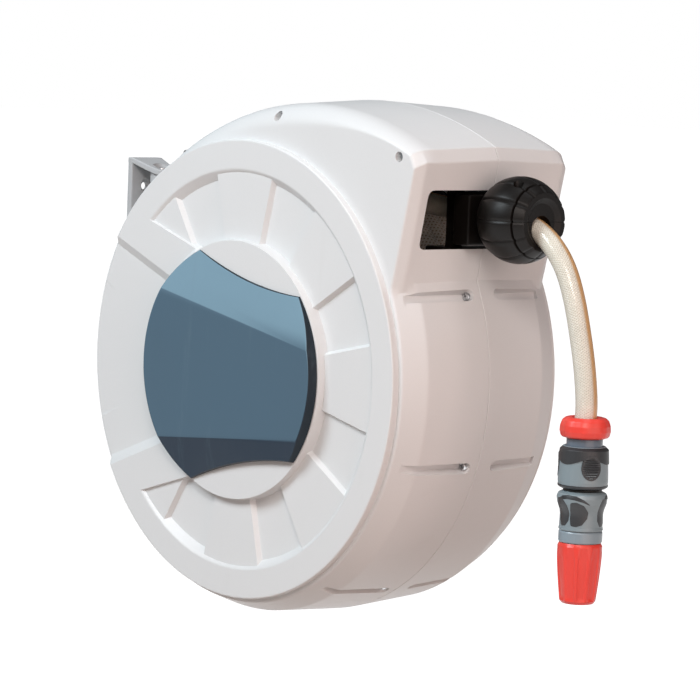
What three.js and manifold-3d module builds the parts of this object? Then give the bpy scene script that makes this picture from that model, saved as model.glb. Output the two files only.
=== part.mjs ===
// Wall-hung garden hose reel with spring rewind: a two-shell casing swings on a wall bracket, and
// inside it a drum, driven by a spiral spring, winds the hose through a traversing guide.
//
// Frame (millimetres): the origin is the middle of the bracket's back face, on the wall. +X points
// away from the wall, +Z is up, and the drum's axis runs along Y. Everything on the reel is placed
// from the drum's axis, in the group called reel.

import * as THREE from 'three';
import { mergeVertices } from 'three/addons/utils/BufferGeometryUtils.js';
import Module from 'manifold-3d';

const wasm = await Module();
wasm.setup();

// ---------------------------------------------------------------- driving dimensions

const gap = 0.3; // left between pieces that touch
const wall = 3; // thickness of the moulded casing
const round = 40; // sides of the casing's largest circles
const drumSides = 30; // sides of the drum and of what fits it

// Hose and drum
const hoseDiameter = 16.5;
const turnsPerLayer = 7;
const woundLayers = 5;
const hubRadius = 58;
const hubWall = 4;
const flangeThickness = 3;
const flangeRim = 5; // flange beyond the layer that is being wound
const webThickness = 4;
const bossRadius = 18;
const bossDepth = 16;

// Casing
const barrelRoom = 30; // between the drum flange and the casing wall
const sideRoom = 17.25; // between the drum flange and the casing's side wall
const headRise = 19.5; // top of the casing above the round barrel
const headStart = 126; // degrees: where the raised top leaves the barrel
const faceSetback = 9.5; // front face behind the barrel's radius, at the window
const faceLean = 11; // degrees
const headCorner = 7;
const barrelChamfer = 8.5;
const headFillet = 20.5;
const frontBevel = 6.5;
const shoulderDepth = 21; // stretch of the casing's depth that chamfer and fillet take
const draft = 3.5; // how far the casing narrows from the seam to its shoulder

// Side disc, its recessed ring and the cap
const discMargin = 15; // barrel beyond the side disc
const discProud = 6;
const discEdge = 1.5;
const ringOuter = 155;
const ringInner = 101.5;
const ringDepth = 5.6;
const panelHeight = 3.4;
const panelAngle = 26; // degrees
const panelPitch = 45; // degrees
const hubProud = 4;
const capHeight = 8;
const capFall = 7.2; // how far the cap's upper and lower facets fall over the facet's width
const capFacet = 40;
const capFolds = [[67, 22], [-66, -43]]; // heights of the two folds, at each side of the cap
const capSag = 12; // pull of the concave upper and lower edges
const bayDepth = 5.5;
const bayPocket = 1.2;

// Window and hose guide
const windowDrop = 85; // centre of the window below the casing's top
const windowHalfWidth = 65;
const windowHeight = 45;
const windowCorner = 4;
const eyeRise = 2; // eye above the window's middle
const guideHalfWidth = 21;
const carriageHalfWidth = 17; // the guide between its arms and its mouth
const mouthHalfWidth = 25;
const mouthHeight = 39;
const mouthWall = 3.4;
const mouthReach = 4.5; // mouth in front of the casing's face
const eyeRadius = 15;
const screwSetback = 36; // cross screw behind the casing's face
const screwDrop = 39.5; // cross screw below the hose
const rodRise = 33; // guide rod above the hose
const crossScrewRadius = 7;
const guideRodRadius = 4;
const rollerRadius = 6;
const rollerClearance = 0.9; // between a roller and the hose
const rollerPin = 2;

// Gears
const drumTeeth = 24;
const idlerTeeth = 42;
const screwTeeth = 12;
const gearWidth = 6;

// Axle, spring, ratchet and water way
const axleRadius = 8;
const bushWall = 4;
const arborRadius = 14;
const springThickness = 1.2;
const springTurns = 6;
const springWidth = 28;
const springCoverThickness = 3;
const ratchetTeeth = 20;
const ratchetInner = 62;
const ratchetRoot = 72;
const ratchetTip = 78;
const ratchetWidth = 5.4;
const pawlPinRadius = 3;
const pawlLift = 1; // between the resting pawl and the ratchet's tips
const waterTubeRadius = 8;
const waterBore = 5.5;
const inletWall = 5;
const inletBoreRadius = 11;
const inletDrop = 52;

// Fasteners
const channelWidth = 7;
const channelDepth = 7.2;
const screwHeadRadius = 3.2;
const screwHeadHeight = 2.6;
const screwShankRadius = 1.8;
const screwLength = 22;
const screwHoleRadius = 4;
const screwBossWall = 3.5;
const channelAngles = [21.8, -18, -59, -115, -158]; // degrees around the barrel
const screwSeat = 9; // thickness of each channel's end wall at the seam
const headScrewSeat = 62; // depth of the top screws' heads beyond the seam
const headScrewSpots = [ // degrees around the top's own centre, and distance inside its outline
  [122.5, 4.8],
  [96.2, 13.1],
  [66.9, 16.1],
];

// Wall bracket and swivel
const bracketHeight = 200;
const bracketWidth = 32;
const bracketThickness = 6;
const pinFromWall = 26;
const pinToBarrel = 10; // pin's axis behind the barrel
const swivelPinRadius = 4;
const knuckleRadius = 9.5;
const knuckleLength = 30;
const earSlope = 0.32;
const earThickness = 5;
const earTipRadius = 12;
const earBossDrop = 20; // underside of the ear's boss below the bracket's end
const bracketRise = 54; // middle of the bracket above the drum's axis
const wallScrewHoleRadius = 3.2;
const wallScrewHoles = [-76, -30, 30, 76];

// Ball stop, free hose and its fittings
const ballRadius = 33;
const ballFaceReach = 22; // flat front of the ball from its centre
const ballCollarRadius = 26;
const ballCollarStep = 3;
const ballGrooves = 12;
const ballGrooveWidth = 1.4;
const ballGrooveDepth = 1.2;
const ballScrewPlace = [10, 14];
const ballScrewSeat = 14; // above the ball's middle
const ballScrewLength = 20;
const ballMouthRadius = 10.5; // the hose's way out of the ball's front
const ballMouthDrop = 5.5;
const ballMouthDepth = 8;
const tailRoute = [
  [0, 0],
  [24, -0.3],
  [42, -3.2],
  [57, -9.5],
  [71, -20],
  [82.5, -34.5],
  [91.5, -54],
  [99.5, -80],
  [105.5, -105],
  [109, -129],
  [109, -142],
];
const fittingBore = 4.5; // radius of the water way through the fittings
const connectorRadius = 19;
const nutHeight = 15;
const neckLength = 6; // neck between the nut and the collar
const nutRibs = 10;
const neckRadius = 13.5;
const collarHeight = 31;
const socketDepth = 20;
const nippleRadius = 9;
const nippleStep = 1.5; // thickness of the nipple's shoulder
const nippleShank = 14; // nipple inside the nozzle's body
const nozzleBodyHeight = 31;
const nozzleRingHeight = 9;
const nozzleHeadHeight = 45.5;
const nozzleHeadRadius = 16.8;
const nozzleTipRadius = 10.5;

// ---------------------------------------------------------------- derived places

const hoseRadius = hoseDiameter / 2;
const drumHalfWidth = (turnsPerLayer * hoseDiameter) / 2;
const packRadius = hubRadius + woundLayers * hoseDiameter;
const flangeRadius = packRadius + hoseDiameter + flangeRim;
const flangeOuter = drumHalfWidth + flangeThickness;
const barrelRadius = flangeRadius + barrelRoom + wall;
const discRadius = barrelRadius - discMargin;
const sideInner = flangeOuter + sideRoom;
const sideOuter = sideInner + wall;
const discFace = sideOuter + discProud;
const hubFace = discFace + hubProud;

const axisX = pinFromWall + pinToBarrel + barrelRadius;
const pinX = -(barrelRadius + pinToBarrel); // seen from the drum's axis
const windowZ = barrelRadius + headRise - windowDrop;
const faceX = barrelRadius - faceSetback;
const eyeZ = windowZ + eyeRise;
const faceSlope = Math.tan(THREE.MathUtils.degToRad(faceLean));
const eyeX = faceX + mouthReach;
const screwX = faceX - screwSetback;
const screwZ = windowZ - screwDrop;
const rodZ = windowZ + rodRise;
const screwDistance = Math.hypot(screwX, screwZ);
const screwBearing = Math.atan2(screwZ, screwX);
const gearModule = screwDistance / (drumTeeth / 2 + idlerTeeth + screwTeeth / 2);
const gearFace = flangeOuter + gap;

// ---------------------------------------------------------------- finishes

function finish(color, roughness, metalness = 0) {
  return new THREE.MeshStandardMaterial({ color, roughness, metalness });
}

const casingPlastic = finish(0xdcdcda, 0.5);
const capPlastic = finish(0x4f6b7c, 0.45);
const bracketPlastic = finish(0xd2d2d0, 0.5);
const blackPlastic = finish(0x1b1a1a, 0.5);
const drumPlastic = finish(0x2f3134, 0.55);
const gearPlastic = finish(0xe6e2d6, 0.5);
const steel = finish(0xb9bbbd, 0.35, 1);
const springSteel = finish(0x5d6166, 0.4, 1);
const rubber = finish(0x171717, 0.8);
const hosePlastic = finish(0xcfcbb2, 0.45);
const redPlastic = finish(0xe0453c, 0.45);
const greyPlastic = finish(0x75797c, 0.5);
const paleGreyPlastic = finish(0xa9adb0, 0.5);

// ---------------------------------------------------------------- shape helpers

// A closed geometry as a manifold solid, facing out whichever way it was drawn.
function solid(geometry) {
  const bare = geometry.clone();
  bare.deleteAttribute('normal');
  bare.deleteAttribute('uv');
  const merged = mergeVertices(bare, 1e-4);
  const corners = merged.getAttribute('position');
  const triangles = [];
  let volume = 0;
  const [a, b, c] = [new THREE.Vector3(), new THREE.Vector3(), new THREE.Vector3()];
  for (let i = 0; i < merged.index.count; i += 3) {
    const [p, q, r] = [merged.index.getX(i), merged.index.getX(i + 1), merged.index.getX(i + 2)];
    if (p === q || q === r || r === p) continue;
    triangles.push(p, q, r);
    a.fromBufferAttribute(corners, p);
    b.fromBufferAttribute(corners, q);
    c.fromBufferAttribute(corners, r);
    volume += a.dot(b.cross(c));
  }
  const triVerts = new Uint32Array(volume < 0 ? triangles.reverse() : triangles);
  const vertProperties = new Float32Array(corners.array);
  return new wasm.Manifold(new wasm.Mesh({ numProp: 3, vertProperties, triVerts }));
}

function geometryOf(body) {
  const { vertProperties, triVerts } = body.simplify(0.02).getMesh();
  const geometry = new THREE.BufferGeometry();
  geometry.setAttribute('position', new THREE.BufferAttribute(vertProperties, 3));
  geometry.setIndex(new THREE.BufferAttribute(triVerts, 1));
  geometry.computeVertexNormals();
  return geometry;
}

function joined(...bodies) {
  return bodies.reduce((whole, body) => whole.add(body));
}

function cut(body, ...tools) {
  return tools.reduce((rest, tool) => rest.subtract(tool), body);
}

// A named piece, made from a solid.
function piece(name, material, body) {
  const mesh = new THREE.Mesh(geometryOf(body), material);
  mesh.name = name;
  return mesh;
}

function block([x0, x1], [y0, y1], [z0, z1]) {
  const box = new THREE.BoxGeometry(x1 - x0, y1 - y0, z1 - z0);
  return solid(box.translate((x0 + x1) / 2, (y0 + y1) / 2, (z0 + z1) / 2));
}

// A profile of [radius, y] points, closed on itself and turned about Y.
function turned(profile, sides = 24) {
  const points = [...profile, profile[0]].map(([radius, y]) => new THREE.Vector2(radius, y));
  return solid(new THREE.LatheGeometry(points, sides));
}

function rod(radius, y0, y1, sides = 16) {
  return turned([[0, y0], [radius, y0], [radius, y1], [0, y1]], sides);
}

function sleeve(inner, outer, y0, y1, sides = 24) {
  return turned([[inner, y0], [outer, y0], [outer, y1], [inner, y1]], sides);
}

// Solids drawn about Y, laid along X or stood along Z.
function alongX(body) {
  return body.rotate([0, 0, -90]);
}

function alongZ(body) {
  return body.rotate([90, 0, 0]);
}

// An outline of [x, z] points, drawn out along Y.
function prism(outline, y0, y1) {
  const shape = new THREE.Shape(outline.map(([x, z]) => new THREE.Vector2(x, z)));
  const slab = new THREE.ExtrudeGeometry(shape, { depth: y1 - y0, bevelEnabled: false });
  return solid(slab.rotateX(Math.PI / 2).translate(0, y1, 0));
}

// An outline of [x, y] points, drawn out along Z.
function column(outline, z0, z1) {
  const shape = new THREE.Shape(outline.map(([x, y]) => new THREE.Vector2(x, y)));
  const slab = new THREE.ExtrudeGeometry(shape, { depth: z1 - z0, bevelEnabled: false });
  return solid(slab.translate(0, 0, z0));
}

// A round tube along a curve.
function tube(curve, radius, sides, steps) {
  const circle = arc(0, 0, radius, 0, 360, sides).slice(0, -1);
  const section = new THREE.Shape(circle.map(([x, y]) => new THREE.Vector2(x, y)));
  return solid(new THREE.ExtrudeGeometry(section, { extrudePath: curve, steps, bevelEnabled: false }));
}

// Points [x, z] of an arc, angles in degrees.
function arc(centreX, centreZ, radius, from, to, steps) {
  return Array.from({ length: steps + 1 }, (_, i) => {
    const angle = THREE.MathUtils.degToRad(from + ((to - from) * i) / steps);
    return [centreX + radius * Math.cos(angle), centreZ + radius * Math.sin(angle)];
  });
}

function sector(inner, outer, from, to, steps) {
  return [...arc(0, 0, outer, from, to, steps), ...arc(0, 0, inner, to, from, steps)];
}

// Turns a solid about the drum's axis, from +X towards +Z.
function swung(body, degrees) {
  return body.rotate([0, -degrees, 0]);
}

// The same solid on the other side of the casing's middle plane.
function mirrored(body) {
  return body.mirror([0, 1, 0]);
}

// Joins rings that hold equally many points into one closed solid.
function loft(rings) {
  const count = rings[0].length;
  const positions = rings.flat().flatMap((point) => point.toArray());
  const index = [];
  for (let ring = 0; ring + 1 < rings.length; ring += 1) {
    for (let i = 0; i < count; i += 1) {
      const [p, q] = [ring * count + i, ring * count + ((i + 1) % count)];
      index.push(p, q, q + count, p, q + count, p + count);
    }
  }
  for (const [ring, flip] of [[0, true], [rings.length - 1, false]]) {
    const contour = rings[ring].map((point) => new THREE.Vector2(point.x, point.z));
    for (const face of THREE.ShapeUtils.triangulateShape(contour, [])) {
      const corners = face.map((i) => ring * count + i);
      index.push(...(flip ? corners.reverse() : corners));
    }
  }
  const geometry = new THREE.BufferGeometry();
  geometry.setAttribute('position', new THREE.Float32BufferAttribute(positions, 3));
  geometry.setIndex(index);
  return solid(geometry);
}

// ---------------------------------------------------------------- casing outline

// Where the leaning front face, x = foot + slope * z, meets a circle above its centre.
function faceMeets(centreX, centreZ, radius) {
  const foot = faceX - windowZ * faceSlope - centreX;
  const a = 1 + faceSlope ** 2;
  const b = foot * faceSlope - centreZ;
  const c = foot ** 2 + centreZ ** 2 - radius ** 2;
  const z = (-b + Math.sqrt(b ** 2 - a * c)) / a;
  return new THREE.Vector2(faceX + (z - windowZ) * faceSlope, z);
}

const topAngle = THREE.MathUtils.degToRad(headStart);
const topRadius = barrelRadius + headRise / (1 - Math.sin(topAngle));
const topCentreX = (barrelRadius - topRadius) * Math.cos(topAngle);
const topCentreZ = (barrelRadius - topRadius) * Math.sin(topAngle);
const throat = faceMeets(0, 0, barrelRadius);
const brow = faceMeets(topCentreX, topCentreZ, topRadius);
const throatAngle = THREE.MathUtils.radToDeg(throat.angle());
const browAngle = THREE.MathUtils.radToDeg(brow.angle());

// The casing at its seam, as points around the drum's axis: barrel, raised top, corner, front face.
function seamOutline() {
  const barrel = arc(0, 0, barrelRadius, throatAngle, headStart - 360, 26);
  const browOnTop = Math.atan2(brow.y - topCentreZ, brow.x - topCentreX);
  const cornerTurn = THREE.MathUtils.radToDeg(headCorner / topRadius);
  const topEnd = THREE.MathUtils.radToDeg(browOnTop) + cornerTurn;
  const top = arc(topCentreX, topCentreZ, topRadius, headStart, topEnd, 8);
  const [startX, startZ] = top.at(-1);
  const corner = new THREE.QuadraticBezierCurve(
    new THREE.Vector2(startX, startZ),
    brow,
    new THREE.Vector2(brow.x - headCorner * faceSlope, brow.y - headCorner),
  );
  const cornerPoints = corner.getPoints(3).slice(1).map((point) => [point.x, point.y]);
  return [...barrel, ...top.slice(1), ...cornerPoints].reverse();
}

// How far the casing has narrowed, at a depth from the seam and an angle around the drum's axis.
function narrowing(depth, degrees) {
  const shoulder = sideOuter - shoulderDepth;
  const early = (draft * Math.min(depth, shoulder)) / shoulder;
  const late = Math.max(0, (depth - shoulder) / shoulderDepth);
  const overTop = THREE.MathUtils.smoothstep(degrees, browAngle - 1, browAngle + 2)
    * (1 - THREE.MathUtils.smoothstep(degrees, headStart - 14, headStart + 20));
  const onFace = degrees > throatAngle - 0.1 && degrees < browAngle;
  const chamfer = barrelChamfer * late;
  const fillet = headFillet * (1 - Math.sqrt(Math.max(0, 1 - late ** 2)));
  const bevel = frontBevel * Math.max(0, (late - 0.6) / 0.4);
  return early + THREE.MathUtils.lerp(onFace ? bevel : chamfer, fillet, overTop);
}

// The seam outline, narrowed for a depth and moved in by an allowance.
function casingRing(depth, allowance) {
  return seamOutline().map(([x, z]) => {
    const radius = Math.hypot(x, z);
    const degrees = (THREE.MathUtils.radToDeg(Math.atan2(z, x)) + 360) % 360;
    const lost = narrowing(Math.min(Math.max(depth, 0), sideOuter), degrees) + allowance;
    const scale = (radius - lost) / radius;
    return new THREE.Vector3(x * scale, depth, z * scale);
  });
}

const shoulderY = sideOuter - shoulderDepth;
const outerDepths = [gap / 2, shoulderY, ...[0.4, 0.75, 1].map((t) => shoulderY + t * shoulderDepth)];
const innerDepths = [-1, shoulderY, shoulderY + shoulderDepth / 2, sideInner];
const casingOutside = loft(outerDepths.map((depth) => casingRing(depth, 0)));
const casingInside = loft(innerDepths.map((depth) => casingRing(depth, wall)));

// ---------------------------------------------------------------- side disc relief

// The two arms that run from the hub to the disc's rear edge, and the bay between them.
const armOutline = twoSided([[-20, 80], [-44, 87.3], [-109, 108.2], [-200, 137]]);
const bayOutline = twoSided([[-60, 54], [-83, 63], [-151, 90], [-200, 109.5]]);
const pocketOutline = twoSided([[-122.5, 24], [-132, 37.5], [-200, 70]]);

// The upper half of an outline, followed by its mirror image below the X axis.
function twoSided(upper) {
  return [...upper, ...upper.map(([x, z]) => [x, -z]).reverse()];
}

function sideDisc() {
  const disc = turned([
    [0, sideInner], [discRadius, sideInner],
    [discRadius, discFace - discEdge], [discRadius - discEdge, discFace],
    [ringInner, discFace], [ringInner, hubFace - discEdge],
    [ringInner - discEdge, hubFace], [0, hubFace],
  ], round);
  const floor = discFace - ringDepth;
  const ring = sleeve(ringInner, ringOuter, floor, hubFace, round);
  const arms = prism(armOutline, floor - 1, hubFace + 1);
  const hub = rod(ringInner, discFace - bayDepth - bayPocket - 1, hubFace + 1, round);
  const bay = prism(bayOutline, discFace - bayDepth, hubFace + 1).subtract(hub);
  const pocket = prism(pocketOutline, discFace - bayDepth - bayPocket, hubFace + 1).subtract(hub);
  const panels = [-3, -2, -1, 0, 1, 2, 3].map((step) => {
    const middle = step * panelPitch;
    const [from, to] = [middle - panelAngle / 2, middle + panelAngle / 2];
    const outline = sector(ringInner - 1, ringOuter + 1, from, to, 4);
    return prism(outline, floor - 1, floor + panelHeight);
  });
  return cut(joined(cut(disc, ring.subtract(arms)), ...panels), bay, pocket);
}

// Room behind the disc's outer band and behind the hub, so that the walls there stay thin.
function discHollow() {
  const band = sleeve(ringOuter + wall, discRadius - wall, sideInner - 1, discFace - wall, round);
  const hub = rod(ringInner - wall, sideInner - 1, hubFace - wall, round);
  return cut(band, prism(bayOutline, 0, hubFace)).add(hub);
}

// ---------------------------------------------------------------- casing shells

// A recessed channel along the rim, with the block behind it that takes the screw.
function channelBlock(from, to) {
  const depth = barrelRadius - channelDepth;
  const half = channelWidth / 2 + wall;
  return block([depth - wall, barrelRadius + 1], [from, to], [-half, half]);
}

function channelSlot(from, to) {
  const depth = barrelRadius - channelDepth;
  const half = channelWidth / 2;
  const slot = block([depth, barrelRadius + 2], [from + half, to], [-half, half]);
  const end = alongX(rod(half, depth, barrelRadius + 2, 8)).translate([0, from + half, 0]);
  return slot.add(end);
}

const headScrewPlaces = headScrewSpots.map(([degrees, inside]) => {
  const [[x, z]] = arc(topCentreX, topCentreZ, topRadius - inside, degrees, degrees, 1);
  return [x, z];
});

function headBosses(from, to) {
  const ring = rod(screwHoleRadius + screwBossWall, from, to, 10);
  return headScrewPlaces.map(([x, z]) => ring.translate([x, 0, z]));
}

// One half of the casing, drawn with depth counted outwards from the seam along +Y. Ahead of each
// rim channel's start the end wall is solid, and takes the screw.
function casingHalf(channelStart, channelEnd, bossStart) {
  const skin = cut(cut(casingOutside, casingInside).add(sideDisc()), discHollow());
  const backing = channelBlock(gap / 2, channelEnd + wall);
  const blocks = channelAngles.map((angle) => swung(backing, angle));
  const slots = channelAngles.map((angle) => {
    const slot = mirrored(channelSlot(-channelEnd, -channelStart));
    return swung(slot, angle);
  });
  const bosses = headBosses(bossStart, sideOuter);
  const frame = joined(...blocks, ...bosses).intersect(casingOutside);
  const opening = windowCutter();
  return cut(skin.add(frame), ...slots, opening);
}

function windowCutter() {
  const [before, depth] = [40, 60]; // starts behind the face, and goes well past it
  const half = windowHeight / 2;
  const corner = windowCorner;
  const outline = [
    [windowHalfWidth - corner, -half], [windowHalfWidth, corner - half],
    [windowHalfWidth, half - corner], [windowHalfWidth - corner, half],
    [corner - windowHalfWidth, half], [-windowHalfWidth, half - corner],
    [-windowHalfWidth, corner - half], [corner - windowHalfWidth, -half],
  ];
  const shape = new THREE.Shape(outline.map(([y, z]) => new THREE.Vector2(y, z)));
  const slab = new THREE.ExtrudeGeometry(shape, { depth, bevelEnabled: false });
  const axes = new THREE.Matrix4().makeBasis(
    new THREE.Vector3(0, 1, 0), new THREE.Vector3(0, 0, 1), new THREE.Vector3(1, 0, 0),
  );
  return solid(slab.applyMatrix4(axes).translate(faceX - before, 0, windowZ));
}

const headBossSplit = headScrewSeat - screwSeat; // where the two halves' bosses meet
const channelScrewRadius = barrelRadius - channelDepth + screwHeadRadius + gap;
const shankHoleRadius = screwShankRadius + gap;

// Holes for the casing screws: first in the half that takes their heads, then in the other half.
function headSideHoles() {
  const shank = rod(shankHoleRadius, -1, headScrewSeat + 1, 8);
  const counterbore = rod(screwHoleRadius, headScrewSeat, hubFace, 10);
  const top = headScrewPlaces.map(([x, z]) => shank.add(counterbore).translate([x, 0, z]));
  return joined(...rimHoles(screwSeat + 1), ...top);
}

function threadSideHoles() {
  const shank = rod(shankHoleRadius, -headBossSplit - 1, screwLength - headScrewSeat + 1, 8);
  const top = headScrewPlaces.map(([x, z]) => shank.translate([x, 0, z]));
  return joined(...rimHoles(screwLength - screwSeat), ...top);
}

function rimHoles(length) {
  const shank = rod(shankHoleRadius, -1, length, 8).translate([channelScrewRadius, 0, 0]);
  return channelAngles.map((angle) => swung(shank, angle));
}

// The stretches of the right half's top bosses that reach into the left half.
function crossingBosses() {
  const room = mirrored(loft(innerDepths.map((depth) => casingRing(depth, wall + gap))));
  return headBosses(-headBossSplit, 1).map((boss) => boss.intersect(room.add(casingOutside)));
}

// A hinge knuckle behind the barrel, with the web that carries it on this half's side of the seam.
function knuckle(bottom) {
  const top = bottom + knuckleLength;
  const ring = alongZ(rod(knuckleRadius, bottom, top, 16)).translate([pinX, 0, 0]);
  const web = block([pinX, -barrelRadius * 0.6], [gap / 2, knuckleRadius], [bottom, top]);
  return joined(ring, web.subtract(casingInside));
}

const earUnderside = bracketRise + bracketHeight / 2 - earBossDrop;
const earTopside = bracketRise - bracketHeight / 2 + earBossDrop;

// A boss inside the side wall, which is further out behind the hub than around it.
function sideBoss(x, z, radius, from) {
  const boss = rod(radius, from, hubFace - wall + 1).translate([x, 0, z]);
  const room = rod(ringInner - 1, 0, hubFace, round).add(rod(barrelRadius, 0, sideInner + 1, round));
  return boss.intersect(room);
}

const swivelBore = alongZ(rod(swivelPinRadius + gap, -400, 400, 12)).translate([pinX, 0, 0]);

function casingLeft() {
  const axleSocket = sideBoss(0, 0, bossRadius, sideInner - 10);
  const pawlBoss = sideBoss(pawlX, pawlZ, pawlPinRadius + wall, flangeOuter + ratchetWidth + 2 * gap);
  const half = casingHalf(screwSeat, sideOuter - 6, headBossSplit + gap);
  const drilled = cut(joined(half, axleSocket, pawlBoss, bearingBosses()), headSideHoles());
  const pawlHole = rod(pawlPinRadius + gap, flangeOuter, sideInner + 1, 16).translate([pawlX, 0, pawlZ]);
  const axleHole = rod(axleRadius + gap, 0, sideInner + 2, 24);
  const walls = cut(drilled, bearingBores(), pawlHole, axleHole);
  return mirrored(cut(walls.add(knuckle(earUnderside - gap - knuckleLength)), swivelBore));
}

function casingRight() {
  const idlerBoss = sideBoss(idlerX, idlerZ, idlerPinRadius + wall, gearFace + gearWidth + gap);
  const half = casingHalf(screwSeat + 8, sideOuter - 15, gap / 2);
  const threaded = cut(joined(half, ...crossingBosses()), threadSideHoles());
  const bossed = joined(threaded, bearingBosses(), idlerBoss);
  const idlerHole = rod(idlerPinRadius + gap, gearFace, sideInner + 1, 16).translate([idlerX, 0, idlerZ]);
  const inletHole = rod(inletBoreRadius + inletWall + gap, 0, hubFace + 1, 24);
  const inletBoss = sideBoss(0, 0, inletBoreRadius + inletWall + 2 * wall, sideInner);
  const walls = cut(bossed.add(inletBoss), bearingBores(), idlerHole, inletHole);
  return cut(walls.add(knuckle(earTopside + gap)), swivelBore);
}

// Blind bosses on the side walls that hold the ends of the cross screw and the guide rod.
const bearings = [[screwZ, crossScrewRadius], [rodZ, guideRodRadius]];
const bearingDepth = 7;

function bearingBosses() {
  const bosses = bearings.map(([z, radius]) => (
    sideBoss(screwX, z, radius + wall, sideInner - bearingDepth)
  ));
  return joined(...bosses).intersect(casingOutside);
}

function bearingBores() {
  const bores = bearings.map(([z, radius]) => (
    rod(radius + gap, sideInner - bearingDepth - 1, sideInner + 0.5, 12).translate([screwX, 0, z])
  ));
  return joined(...bores);
}

// ---------------------------------------------------------------- cap

function capOutline() {
  const right = arc(0, 0, ringInner - 1, -39.5, 39.5, 10);
  const left = arc(0, 0, ringInner - 1, 115, 245, 16);
  const edge = (from, to, bend) => new THREE.QuadraticBezierCurve(
    new THREE.Vector2(...from),
    new THREE.Vector2((from[0] + to[0]) / 2, (from[1] + to[1]) / 2 + bend),
    new THREE.Vector2(...to),
  ).getPoints(5).slice(1, -1).map((point) => [point.x, point.y]);
  const upper = edge(right.at(-1), left[0], -capSag);
  const lower = edge(left.at(-1), right[0], capSag);
  return [...right, ...upper, ...left, ...lower];
}

function cap() {
  const base = hubFace + gap;
  const top = base + capHeight;
  const body = prism(capOutline(), base, top);
  // The upper and lower thirds fall away from the flat middle facet.
  const wedge = ([rear, front]) => {
    const side = Math.sign(rear);
    const fold = [[-130, rear], [110, front]];
    const [near, far] = [[0, top], [2 * capFacet, top - 2 * capFall]].map(([out, depth]) => fold
      .map(([x, z]) => new THREE.Vector3(x, depth, z + side * out)));
    const floor = [near[0], near[1], far[1], far[0]];
    const roof = floor.map((point) => point.clone().setY(top + 1));
    return prismBetween(floor, roof);
  };
  return cut(body, ...capFolds.map(wedge));
}

// The right cap leaves the inlet free, with a notch below it for the supply hose's connector.
function capRight() {
  const hole = rod(inletBoreRadius + inletWall + gap, hubFace, hubFace + 20, 24);
  const half = connectorRadius + 2;
  const notch = block([-half, half], [hubFace, hubFace + 20], [-ringInner, 0]);
  return cut(cap(), hole, notch);
}

// A solid between two quadrilaterals with matching corners.
function prismBetween(lower, upper) {
  const positions = [...lower, ...upper].flatMap((point) => point.toArray());
  const geometry = new THREE.BufferGeometry();
  geometry.setAttribute('position', new THREE.Float32BufferAttribute(positions, 3));
  geometry.setIndex([
    0, 2, 1, 0, 3, 2, 4, 5, 6, 4, 6, 7,
    0, 1, 5, 0, 5, 4, 1, 2, 6, 1, 6, 5, 2, 3, 7, 2, 7, 6, 3, 0, 4, 3, 4, 7,
  ]);
  return solid(geometry);
}

// ---------------------------------------------------------------- casing screws

// A pan-head screw with a crossed recess, its head seated at y = 0 and its shank towards +Y.
function screw(length) {
  const slot = screwHeadRadius * 0.9;
  const body = turned([
    [0, -screwHeadHeight], [screwHeadRadius * 0.7, -screwHeadHeight],
    [screwHeadRadius, -screwHeadHeight * 0.5],
    [screwHeadRadius, 0], [screwShankRadius, 0], [screwShankRadius, length], [0, length],
  ], 8);
  const recess = (x, z) => block([-x, x], [-screwHeadHeight - 1, -screwHeadHeight * 0.4], [-z, z]);
  return cut(body, recess(slot / 2, 0.4), recess(0.4, slot / 2));
}

function casingScrews() {
  const rim = channelAngles.map((angle, i) => {
    const placed = swung(screw(screwLength).translate([channelScrewRadius, -screwSeat - gap, 0]), angle);
    return piece(`rim_screw_${i + 1}`, steel, placed);
  });
  const top = headScrewPlaces.map(([x, z], i) => piece(
    `top_screw_${i + 1}`, steel, screw(screwLength).translate([x, -headScrewSeat - gap, z]),
  ));
  return [...rim, ...top];
}

// ---------------------------------------------------------------- drum

function drumHalf() {
  const boreRadius = axleRadius + bushWall + gap;
  return turned([
    [flangeRadius, flangeOuter], [flangeRadius, drumHalfWidth],
    [hubRadius, drumHalfWidth], [hubRadius, gap / 2],
    [boreRadius, gap / 2], [boreRadius, bossDepth],
    [bossRadius, bossDepth], [bossRadius, webThickness],
    [hubRadius - hubWall, webThickness], [hubRadius - hubWall, flangeOuter],
  ], drumSides);
}

function drumRight() {
  const port = alongZ(rod(waterTubeRadius + gap, 0, hubRadius + 1)).translate([0, radialTubeY, 0]);
  return cut(drumHalf(), port);
}

function axleBush() {
  return sleeve(axleRadius + gap, axleRadius + bushWall, -bossDepth, bossDepth, 24);
}

function hosePack() {
  return sleeve(hubRadius + gap, packRadius, gap - drumHalfWidth, drumHalfWidth - gap, drumSides);
}

// ---------------------------------------------------------------- spring drive

const springFar = bossDepth + 6;

function axle() {
  return rod(axleRadius, 1 - sideInner, bossDepth - 1, 24);
}

function springArbor() {
  return sleeve(axleRadius + gap, arborRadius, -springFar - springWidth - 2, -springFar + 2, 24);
}

// The power spring, wound from its arbor out to the drum's hub.
function mainSpring() {
  const inner = arborRadius + gap + springThickness / 2;
  const outer = hubRadius - hubWall - 1 - springThickness / 2;
  const steps = springTurns * 12;
  const side = (offset) => Array.from({ length: steps + 1 }, (_, i) => {
    const angle = (2 * Math.PI * springTurns * i) / steps;
    const radius = inner + ((outer - inner) * i) / steps + offset;
    return [radius * Math.cos(angle), radius * Math.sin(angle)];
  });
  const outline = [...side(springThickness / 2), ...side(-springThickness / 2).reverse()];
  return prism(outline, -springFar - springWidth, -springFar);
}

function springCover() {
  const far = -drumHalfWidth + 1;
  const [inner, outer] = [arborRadius + 2 * gap, hubRadius - hubWall - gap];
  return sleeve(inner, outer, far, far + springCoverThickness, drumSides);
}

// ---------------------------------------------------------------- ratchet

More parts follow.
